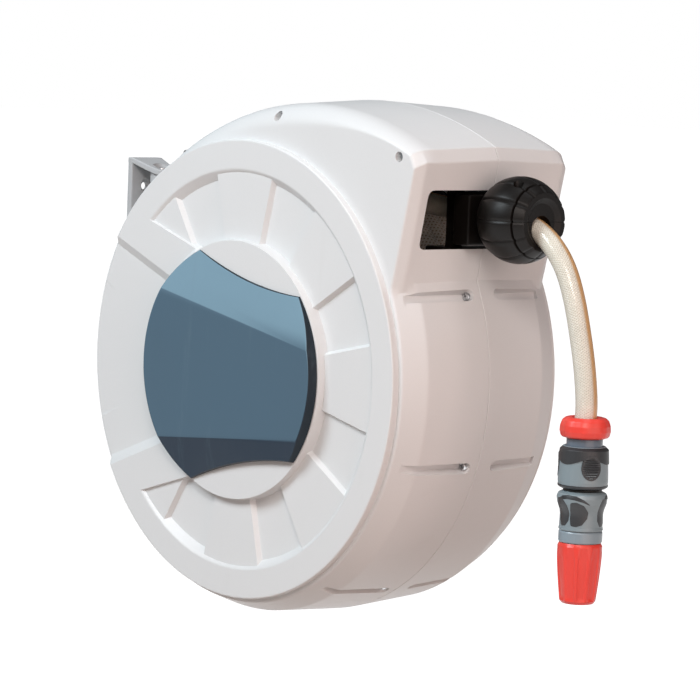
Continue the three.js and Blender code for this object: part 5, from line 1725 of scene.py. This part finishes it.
@dataclass
class Ball:
    """The ball stop: two halves screwed together round the hose."""

    radius: float = 33.0
    eye: float = 15.0
    face: float = 22.0
    collar: float = 26.0
    collar_step: float = 3.0
    grooves: int = 12
    groove_width: float = 1.1
    groove_depth: float = 1.0
    screw_at: Point = (10.0, 14.0)
    screw_top: float = 14.0
    screw_bore: float = 2.1
    screw_end: Point = (-12.0, 16.0)
    screw_well: float = 4.0
    mouth: float = 10.5
    mouth_drop: float = 5.5
    mouth_depth: float = 9.0

    def centre(self, hose: HoseLine) -> Vector:
        """The middle of the ball."""
        return Vector((hose.eye_x + GAP + math.sqrt(self.radius**2 - self.eye**2), 0, hose.eye_z))

    def screw_seat(self, hose: HoseLine) -> Vector:
        """Where the ball's screw is seated."""
        return self.centre(hose) + Vector((self.screw_at[0], -self.screw_at[1], self.screw_top + GAP))

    def build(self, hose: HoseLine) -> list[Piece]:
        """Makes both halves.

        Args:
            hose: what the ball sits on.

        Returns:
            The two halves.
        """
        centre = self.centre(hose)
        path = [p - centre for p in hose.free_path()]
        bore = Form.tube(path, hose.radius + 2 * GAP, 40)
        room = self.front_room()
        aside = (self.screw_at[0], -self.screw_at[1], 0)
        shank = rod(self.screw_bore, *self.screw_end, 24).along_z().moved(*aside)
        well = rod(self.screw_well, self.screw_top, self.radius + 1, 32).along_z().moved(*aside)
        made = []
        for name, node, up in (("ball_half_upper", "ball_upper", 1), ("ball_half_lower", "ball_lower", -1)):
            half = self.body().planed(Vector((0, 0, up * 0.12)), Vector((0, 0, -up)))
            half.cut(bore, room, shank, well)
            made.append(half.moved(*centre).publish(name, BLACK_PLASTIC, Body.GUIDE, [node]))
        return made

    def body(self) -> Form:
        """The whole ball with its seams, its front towards +X."""
        back = -math.sqrt(self.radius**2 - self.eye**2) - 2
        stop = self.face - self.collar_step - 2.0
        front_y = self.face + self.collar_step
        spots = [back + (stop - back) * k / 44 for k in range(45)]
        sphere = [(math.sqrt(self.radius**2 - y * y), y) for y in spots]
        step = sphere[-1][0]
        front = [
            (step - 2.2, stop + 0.2), (step - 2.4, stop + 1.2), (step - 1.0, stop + 1.6),
            (self.collar - 2.6, front_y - 1.2), (self.collar - 4.0, front_y), (0, front_y),
        ]
        form = Form.spun([(0, back), *sphere, *front], 192)
        return form.shaped(self.seam).along_x()

    def seam(self, place: Vector) -> Vector:
        """Sinks a point into the nearest meridian seam.

        Args:
            place: of the point.

        Returns:
            Its new place.
        """
        radius = math.hypot(place.x, place.z)
        if radius < 12:
            return place
        pitch = math.tau / self.grooves
        angle = math.atan2(place.z, place.x)
        off = ((angle + pitch / 2) % pitch - pitch / 2) * radius
        reach = smoothstep(place.y, -20.0, -14.0)
        sink = self.groove_depth * math.exp(-((off / self.groove_width) ** 2)) * reach
        return drawn_in(place, sink)

    def front_room(self) -> Form:
        """The dished front with the hose's way out, below the middle so that the hose can bend down."""
        front = self.face + self.collar_step
        dish = Form.spun([(0, front - 3.0), (14.0, front - 3.0), (19.5, front + 1.0), (0, front + 1.0)], 96)
        mouth = Form.spun([
            (0, front - self.mouth_depth), (self.mouth - 2.0, front - self.mouth_depth),
            (self.mouth, front - 2.5), (self.mouth + 0.8, front + 1.5), (0, front + 1.5),
        ], 96)
        return dish.along_x().joined(mouth.along_x().moved(0, 0, -self.mouth_drop))


# ---- hose guide


@dataclass
class Guide:
    """The guide that travels across the window, with its four rollers."""

    eye_x: float = EYE_X
    window_z: float = WINDOW_Z
    screw_x: float = 149.5
    screw_z: float = 90.0
    rod_z: float = 162.5
    half_width: float = 21.0
    mouth_half: float = 25.0
    mouth_height: float = 39.0
    mouth_wall: float = 3.4
    eye: float = 15.0
    roller: float = 6.0
    roller_pin: float = 2.0
    roller_off: float = 15.15
    level_x: float = 166.0
    level_z: float = 133.8034
    upright_x: float = 180.0
    carriage_half: float = 17.0
    window_half: float = WINDOW_HEIGHT / 2
    eye_z: float = EYE_Z
    sleeve: float = 10.0
    wall: float = 3.0
    screw_bore: float = 7.3
    rod_bore: float = 4.3

    def build(self) -> None:
        """Makes the guide and the rollers."""
        self.body().publish("guide_body", BLACK_PLASTIC, Body.GUIDE, ["hose_guide"])
        inner = self.carriage_half - self.mouth_wall - GAP
        for side, name, body in ((1, "upper", Body.UPPER_ROLLER), (-1, "lower", Body.LOWER_ROLLER)):
            height = self.level_z + side * self.roller_off
            placed = self.wheel(inner, self.carriage_half).moved(self.level_x, 0, height)
            placed.publish(f"{name}_roller_turned", BLACK_PLASTIC, body, [f"roller_{name}"])
        tall = self.mouth_height / 2
        for side, name, body in ((-1, "left", Body.LEFT_ROLLER), (1, "right", Body.RIGHT_ROLLER)):
            standing = self.wheel(tall - self.mouth_wall - GAP, tall).along_z()
            standing.moved(self.upright_x, side * self.roller_off, self.window_z)
            standing.publish(f"{name}_roller_turned", BLACK_PLASTIC, body, [f"roller_{name}"])

    def wheel(self, half: float, journal: float) -> Form:
        """A roller on its pin, with rounded edges."""
        outline = [(0, -journal), (self.roller_pin, -journal), (self.roller_pin, -half), (self.roller, -half),
                   (self.roller, half), (self.roller_pin, half), (self.roller_pin, journal), (0, journal)]
        return Form.spun(outline, 48, 0.7)

    def body(self) -> Form:
        """Two arms, the narrow carriage between them and the mouth, in one moulding."""
        wall, half, tall = self.wall, (-self.half_width, self.half_width), self.mouth_height / 2
        back, front = self.screw_x - self.sleeve, self.screw_x + self.sleeve + 4
        carriage_back, mouth_back = self.level_x - self.roller - wall, self.upright_x - self.roller - wall / 2
        sill = self.window_z - self.window_half
        clear = self.roller_off + self.roller + GAP
        inner = self.carriage_half - self.mouth_wall
        lower = Form.block((back, front), half, (self.screw_z, sill), 1.2)
        upper = Form.block((back, front), half, (sill + 2 * self.window_half, self.rod_z + 7.0), 1.2)
        sleeve_form = rod(self.sleeve, *half, 64, 0.8).moved(self.screw_x, 0, self.screw_z)
        carriage = Form.block(
            (carriage_back, mouth_back + wall), (-self.carriage_half, self.carriage_half),
            (sill - wall, self.level_z + clear + wall), 1.0,
        )
        mouth = self.around((mouth_back, self.eye_x), self.mouth_half, tall, 2.2)
        narrow, low = self.mouth_half - self.mouth_wall, tall - self.mouth_wall
        room = self.around((mouth_back + wall / 2, self.eye_x - wall), narrow, low, 1.2)
        height = (self.level_z - clear, self.level_z + clear)
        tunnel = Form.block((carriage_back - 1, mouth_back), (-inner, inner), height, 0.6)
        passage = self.around((mouth_back - 1.1, mouth_back + wall), inner - 0.05, low - 0.05)
        flare = [(0, -4), (self.eye, -4), (self.eye, -1.2), (self.eye + 1.6, 0.6), (0, 0.6)]
        eye = Form.spun(flare, 96).along_x().moved(self.eye_x, 0, self.eye_z)
        bores = [
            rod(radius, -60, 60, 48).moved(self.screw_x, 0, z)
            for radius, z in ((self.screw_bore, self.screw_z), (self.rod_bore, self.rod_z))
        ]
        pin = self.roller_pin + GAP
        for off in (-self.roller_off, self.roller_off):
            bores.append(rod(pin, -60, 60, 32).moved(self.level_x, 0, self.level_z + off))
            upright = rod(pin, -tall - 1, tall + 1, 32).along_z()
            bores.append(upright.moved(self.upright_x, off, self.window_z))
        body = lower.joined(sleeve_form, upper, carriage, mouth)
        for tool in (tunnel, room, passage, eye, Form.together(*bores)):
            body.cut(tool)
        return body

    def around(self, span: Point, half: float, tall: float, soft: float = 0.0) -> Form:
        """A block along X in the middle of the window."""
        return Form.block(span, (-half, half), (self.window_z - tall, self.window_z + tall), soft)


# ---- fittings


@dataclass
class Fittings:
    """The coupling and the spray nozzle at the hose's end, all on one upright axis."""

    axis_x: float = 296.15
    hose_end: float = -10.5
    hose: float = HOSE_RADIUS
    bore: float = 4.5
    coupling: float = 19.0
    nut_height: float = 15.0
    neck: float = 13.5
    nut_top: float = -8.5
    collar_top: float = -29.5
    collar_bottom: float = -60.5
    nozzle_top: float = -61.1
    body_bottom: float = -92.1
    ring_bottom: float = -101.1
    nozzle_bottom: float = -146.6
    nipple_step: float = 1.5
    waist: tuple[Point, ...] = (
        (0.0, 4.5), (1.6, 1.2), (4.6, 0.1), (9.0, 0.8), (14.0, 2.6), (17.0, 3.1), (26.2, 2.9),
        (28.4, 2.4), (29.2, 3.0),
    )
    nipple: float = 9.0
    head: float = 16.8
    tip: float = 13.6
    lobes: int = 8
    lobe_depth: float = 0.45
    flutes: int = 10
    flute_depth: float = 0.95
    socket_depth: float = 20.0
    plug_depth: float = 14.0
    pad_ribs: float = 1.7
    pad_oval: Point = (7.9, 9.7)
    shield: tuple[Point, ...] = (
        (-6.2, 8.8), (-1.6, 9.6), (3.6, 7.2), (7.4, 1.6), (6.8, -3.0),
        (2.8, -8.2), (-1.8, -9.8), (-6.6, -9.4), (-7.4, -3.4), (-7.0, 3.2),
    )
    bean: tuple[Point, ...] = (
        (-4.4, 10.8), (0.8, 10.4), (4.6, 5.6), (6.0, -0.6), (5.4, -6.4),
        (2.2, -10.8), (-3.0, -11.4), (-6.0, -6.4), (-6.4, 0.0), (-6.2, 6.0),
    )
    arch: tuple[Point, ...] = (
        (-12.4, -9.5), (-11.0, -5.0), (-7.6, -2.0), (-2.6, -1.0), (3.2, -1.6), (8.0, -4.0), (12.4, -8.0),
        (11.2, -8.8), (7.0, -6.8), (2.4, -5.4), (-2.8, -4.9), (-7.2, -6.0), (-9.8, -8.4), (-10.9, -11.6),
    )

    def build(self) -> list[Piece]:
        """Makes every fitting.

        Returns:
            The pieces that the hose carries.
        """
        return [
            self.hang(self.nut(), "nut_moulding", RED_PLASTIC, Body.NUT, "connector_nut"),
            self.hang(self.core(), "coupling_core", COUPLING_PLASTIC, Body.GUIDE, "connector_core"),
            self.hang(self.collar(), "collar_moulding", GREY_PLASTIC, Body.COLLAR, "release_collar"),
            self.hang(self.collar_grip(), "collar_grip", SOFT_GRIP, Body.COLLAR),
            self.hang(self.collar_rim(), "collar_rim", SOFT_GRIP, Body.COLLAR),
            *self.collar_pads(),
            self.hang(self.plug(), "nozzle_nipple_moulding", BLACK_PLASTIC, Body.GUIDE, "nozzle_nipple"),
            self.hang(self.nozzle_body(), "nozzle_moulding", GREY_PLASTIC, Body.GUIDE, "nozzle_body"),
            *self.body_pads(),
            self.hang(self.ring(), "nozzle_ring_moulding", PALE_PLASTIC, Body.SPRAY, "nozzle_ring"),
            self.hang(self.spray_head(), "spray_head_moulding", RED_PLASTIC, Body.SPRAY, "nozzle_head"),
        ]

    def hang(self, form: Form, name: str, finish: Finish, body: Body, node: str = "") -> Piece:
        """Stands a form drawn along Y on the fittings' axis and publishes it."""
        return form.along_z().moved(self.axis_x, 0, 0).publish(name, finish, body, [node] if node else [])

    def nut(self) -> Form:
        """The clamping nut, with soft lobes."""
        top, bottom, r = self.nut_top, self.nut_top - self.nut_height, self.coupling
        form = Form.spun([
            (self.hose + 1, top), (r - 4.2, top), (r - 1.6, top - 2.2), (r - 0.3, top - 6), (r, bottom + 5),
            (r - 0.9, bottom + 1.4), (r - 2.4, bottom), (self.hose + 1, bottom),
        ], 192, 2.2, 4)

        def lobe(p: Vector) -> Vector:
            """Pulls the flank in between the lobes."""
            if math.hypot(p.x, p.z) < self.hose + 3:
                return p
            wave = 0.5 - 0.5 * math.cos(self.lobes * math.atan2(p.z, p.x))
            return drawn_in(p, self.lobe_depth * wave**2)

        return form.shaped(lobe)

    def core(self) -> Form:
        """Barb, neck and socket."""
        under = self.nut_top - self.nut_height - GAP
        floor, mouth = self.collar_bottom + self.socket_depth, self.collar_bottom + 3
        inner, barb, start = self.nipple + GAP, self.hose + 0.5, self.hose_end - GAP
        return Form.spun([
            (self.bore, start), (barb, start), (barb, under), (self.neck, under), (self.neck, mouth),
            (inner, mouth), (inner, floor), (self.bore, floor),
        ], 96, 0.5, 2)

    def collar(self) -> Form:
        """The release collar."""
        top, bottom, r, inner = self.collar_top, self.collar_bottom, self.coupling, self.neck + GAP
        return Form.spun([
            (inner, top), (r - 3.4, top), (r - 1.2, top - 2.2), (r - 0.7, (top + bottom) / 2),
            (r - 0.3, bottom + 5), (r - 0.8, bottom + 1.2), (r - 2.0, bottom), (inner, bottom),
        ], 160, 1.4, 4)

    def collar_rim(self) -> Form:
        """The dark rim round the collar's lower edge."""
        low, r = self.collar_bottom, self.coupling
        return Form.spun([
            (r - 3.4, low - 0.1), (r - 1.9, low - 0.1), (r - 0.4, low + 1.1), (r - 0.25, low + 2.6),
            (r - 1.2, low + 2.7), (r - 3.4, low + 1.5),
        ], 160, 0.5, 2)

    def collar_grip(self) -> Form:
        """The soft dark band round the collar's top, with its wavy lower edge."""
        top, r = self.collar_top - 0.2, self.coupling
        form = Form.spun([
            (self.neck + 1, top), (r - 3.2, top), (r - 0.8, top - 2.3), (r - 0.2, top - 10.5),
            (r - 0.9, top - 10.5), (r - 1.5, top - 2.9), (self.neck + 1, top - 1.0),
        ], 192, 0.9)

        def wave(p: Vector) -> Vector:
            """Moves the lower edge up and down round the band."""
            low = smoothstep(top - p.y, 3.0, 10.5)
            swing = 2.2 * math.cos(3 * (math.atan2(p.z, p.x) - PAD_BEARING)) * low
            return Vector((p.x, p.y - swing, p.z))

        return form.shaped(wave)

    def collar_pads(self) -> list[Piece]:
        """Oval ribbed pads, where fingers hold the collar."""
        pads = []
        wide, tall = self.pad_oval
        oval = [(x * wide, z * tall) for x, z in arc((0, 0), 1.0, 0, 360, 40)[:-1]]
        middle, proud = self.collar_top - 14.7, 0.75
        for k in range(3):
            bearing = PAD_BEARING + k * math.tau / 3
            pad = self.wrapped(
                oval, 1.0, proud, bearing, middle, lambda z: self.coupling - proud, ribs=self.pad_ribs,
            )
            pads.append(self.hang(pad, f"collar_pad_{k + 1}", SOFT_GRIP, Body.COLLAR))
        return pads

    def wrapped(
        self, outline: Outline, depth: float, proud: float, bearing: float, middle: float,
        surface: Callable[[float], float], ribs: float = 0.0,
    ) -> Form:
        """Bends a flat pad round the fittings' axis.

        Args:
            outline: of the pad, across and along the axis.
            depth: of its back below the surface.
            proud: of its face above the surface.
            bearing: where its middle is, in radians.
            middle: its height.
            surface: radius of the surface at each height.
            ribs: pitch of the ribs across it, or 0.

        Returns:
            The form, drawn along Y.
        """
        form = Form.prism(eased(outline, 0.6, 2), -depth, proud, 0.5)
        wide = max(x for x, _ in outline)
        tall = max(z for _, z in outline)
        pitches = ((Vector((1, 0, 0)), wide, 1.0), (Vector((0, 0, 1)), tall, ribs / 4 if ribs else 1.5))
        for across, half, pitch in pitches:
            for place in self.spread(max(half, 12.0), pitch):
                form.scored(across * place, across)

        def bend(p: Vector) -> Vector:
            """Wraps a point, and lifts it into a rib."""
            rise = 0.0
            if ribs and p.y > (proud - depth) / 2:
                rim = (p.x / (wide - ribs)) ** 2 + (p.z / (tall - ribs)) ** 2
                rise = 0.32 * (math.cos(math.tau * p.z / ribs) - 1) * (rim < 1)
            radius = surface(p.z + middle) + p.y + rise
            angle = bearing + p.x / surface(middle)
            return Vector((radius * math.cos(angle), p.z + middle, -radius * math.sin(angle)))

        return form.shaped(bend).mended()

    @staticmethod
    def spread(reach: float, pitch: float) -> list[float]:
        """Even places between -reach and reach."""
        count = int(reach / pitch)
        return [k * pitch for k in range(-count, count + 1)]

    def plug(self) -> Form:
        """The plug that joins nozzle and coupling, with its flange."""
        top, middle, flange = self.collar_bottom + self.socket_depth - GAP, self.nozzle_top, self.neck + 1
        under, low = middle - self.nipple_step, middle - self.plug_depth
        return Form.spun([
            (self.bore, top), (self.nipple, top), (self.nipple, middle), (flange, middle), (flange, under),
            (self.nipple, under), (self.nipple, low), (self.bore, low),
        ], 96, 0.5, 2)

    @property
    def shoulder(self) -> float:
        """Top of the nozzle's body."""
        return self.nozzle_top - self.nipple_step - GAP

    def nozzle_body(self) -> Form:
        """The nozzle's grey body, waisted below its shoulder."""
        inner = self.nipple + GAP
        seat = self.nozzle_top - self.plug_depth - GAP
        flank = [(self.coupling - less, self.shoulder - drop) for drop, less in self.waist]
        inside = [(self.nipple, self.body_bottom), (self.nipple, seat), (inner, seat)]
        return Form.spun([(inner, self.shoulder), *flank, *inside], 160, 1.6, 4)

    def flank_at(self, height: float) -> float:
        """Radius of the nozzle's body at a height."""
        drop = self.shoulder - height
        for (above, less_above), (below, less_below) in zip(self.waist, self.waist[1:]):
            if drop <= below:
                t = max(0.0, (drop - above) / (below - above))
                return self.coupling - (less_above + (less_below - less_above) * t)
        return self.coupling - self.waist[-1][1]

    def body_pads(self) -> list[Piece]:
        """Soft pads sunk in the nozzle's body: three pairs, each under a dark arch."""
        shapes = (
            ("shield", self.shield, PAD_BEARING - 0.436, -16.0, 2.2),
            ("bean", self.bean, PAD_BEARING - 1.24, -14.8, 2.0),
            ("arch", self.arch, PAD_BEARING - 0.75, -0.4, 0.7),
        )
        pads = []
        for name, points, first, drop, soft in shapes:
            outline = eased(list(points), soft, 3)
            for k in range(3):
                bearing = first + k * math.tau / 3
                pad = self.wrapped(outline, 0.8, 0.14, bearing, self.shoulder + drop, self.flank_at)
                pads.append(self.hang(pad, f"nozzle_{name}_{k + 1}", SOFT_GRIP, Body.GUIDE))
        return pads

    def ring(self) -> Form:
        """The pale ring between body and spray head."""
        top, bottom, outer = self.body_bottom - GAP, self.ring_bottom, self.head - 0.5
        return Form.spun([
            (self.nipple, top), (outer - 0.6, top), (outer, top - 1.2), (outer, bottom + 1),
            (outer - 0.5, bottom), (self.nipple, bottom),
        ], 128, 0.7)

    def spray_head(self) -> Form:
        """The tapered red head, fluted between its ribs."""
        top, bottom = self.ring_bottom - GAP, self.nozzle_bottom
        start, end = top - 9, bottom + 2
        spots = [k / 24 for k in range(25)]
        flank = [(self.head - (self.head - self.tip) * t**1.35, start - (start - end) * t) for t in spots]
        form = Form.spun([
            (self.nipple, top), (self.head - 1.4, top), (self.head - 0.2, top - 2.5), *flank,
            (self.tip - 1.6, bottom), (5.0, bottom), (4.0, end), (4.0, top - 20), (self.nipple, top - 20),
        ], 240)

        def flute(p: Vector) -> Vector:
            """Sinks a point between the ribs."""
            if math.hypot(p.x, p.z) < self.tip - 2:
                return p
            wave = 0.5 + 0.5 * math.cos(self.flutes * math.atan2(p.z, p.x))
            foot = 9.4 - 3.4 * wave
            open_by = smoothstep(top - p.y, foot, foot + 2.0)
            closed_by = smoothstep(-p.y, -bottom - 5, -bottom - 1)
            return drawn_in(p, self.flute_depth * smoothstep(wave, 0.04, 0.3) * open_by * (1 - closed_by))

        return form.shaped(flute)


# ---- inside and inlet


@dataclass
class Drum:
    """The drum's two halves, smooth."""

    flange: float = 162.0
    half_width: float = DRUM_HALF_WIDTH
    flange_out: float = 60.75
    hub: float = HUB_RADIUS
    hub_wall: float = 4.0
    bore: float = 12.3
    boss: float = 18.0
    boss_depth: float = 16.0
    web: float = 4.0
    port: float = 8.3
    port_y: float = 27.0

    def build(self) -> None:
        """Makes both halves."""
        port = rod(self.port, 0, self.hub + 1, 48).along_z().moved(0, self.port_y, 0)
        for side, half in (("left", self.half().mirrored()), ("right", self.half().cut(port))):
            half.publish(f"drum_half_{side}", DARK_PLASTIC, Body.DRUM, [f"drum_{side}"])

    def half(self) -> Form:
        """One half, drawn towards +Y."""
        inner = self.hub - self.hub_wall
        return Form.spun([
            (self.flange, self.flange_out), (self.flange, self.half_width), (self.hub, self.half_width),
            (self.hub, GAP / 2), (self.bore, GAP / 2), (self.bore, self.boss_depth),
            (self.boss, self.boss_depth), (self.boss, self.web), (inner, self.web), (inner, self.flange_out),
        ], 120, 0.8, 2)


@dataclass
class Inlet:
    """The water inlet: a plug for a quick coupling on an elbow."""

    bore: float = 11.0
    wall: float = 5.0
    y: float = 111.5
    drop: float = 52.0
    water: float = 5.5
    flange: float = 4.0
    bead: float = 2.2
    side_inner: float = SIDE_INNER
    side_outer: float = SIDE_OUTER

    def build(self) -> None:
        """Makes the elbow."""
        outer, start = self.bore + self.wall, self.side_inner - 10
        rim, under, end = outer + self.flange, self.side_inner - GAP, self.y + outer - 4
        body = Form.spun([
            (0, start), (rim, start), (rim, under), (outer, under), (outer, end), (0, end),
        ], 96, 1.6, 4)
        s, bead = self.bore - 1, self.bore - 1 + self.bead
        spigot = Form.spun([
            (0, 0), (s, 0), (s, 20.5 - self.drop), (bead, 18.5 - self.drop), (bead, 16 - self.drop),
            (s, 14.5 - self.drop), (s, -self.drop), (0, -self.drop),
        ], 96, 0.5).along_z().moved(0, self.y, 0)
        seat = self.side_outer + 3
        socket = rod(self.bore, start - 1, seat, 64)
        across = rod(self.water, seat - 1, self.y, 48)
        down = rod(self.water, -self.drop - 1, 0, 48).along_z().moved(0, self.y, 0)
        body.joined(spigot).cut(socket, across, down)
        body.publish("inlet_moulding", BLACK_PLASTIC, Body.CASING, ["inlet_elbow"])


CARRIED_OVER = {
    ZINC: ("axle", "pawl", "pawl_pin", "idler_pin", "guide_rod"),
    NATURAL_PLASTIC: ("axle_bush", "ratchet_wheel", "drum_gear", "idler_gear", "screw_gear", "cross_screw"),
    DARK_PLASTIC: ("spring_cover", "spring_arbor"),
    BLACK_PLASTIC: ("water_tube",),
    SPRING_BLUE: ("main_spring", "swivel_pin_clip"),
    SEAL_RUBBER: ("inlet_seal_inner", "inlet_seal_outer"),
}


def dress_carried_over() -> None:
    """Gives the CAD nodes that stay their materials."""
    for finish, nodes in CARRIED_OVER.items():
        for node in nodes:
            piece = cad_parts[node]
            piece.data.materials.clear()
            piece.data.materials.append(finish.material())
            LOG.info("%s keeps its CAD shape, in %s", node, finish.name)


def main() -> None:
    """Builds the studio and every sub-assembly in order."""
    logging.basicConfig(level=logging.INFO, format="%(name)s: %(message)s")
    Studio().build()
    hose = HoseLine()
    free = hose.build_free()
    ball = Ball()
    carried = [*ball.build(hose), *Fittings().build()]
    casing = Casing()
    Screws().build(casing, ball.screw_seat(hose))
    hose.declare()
    hose.build_inside()
    Guide().build()
    Drum().build()
    Inlet().build()
    Bracket().build()
    Cap().build()
    casing.build()
    dress_carried_over()


if __name__ == "__main__":
    main()
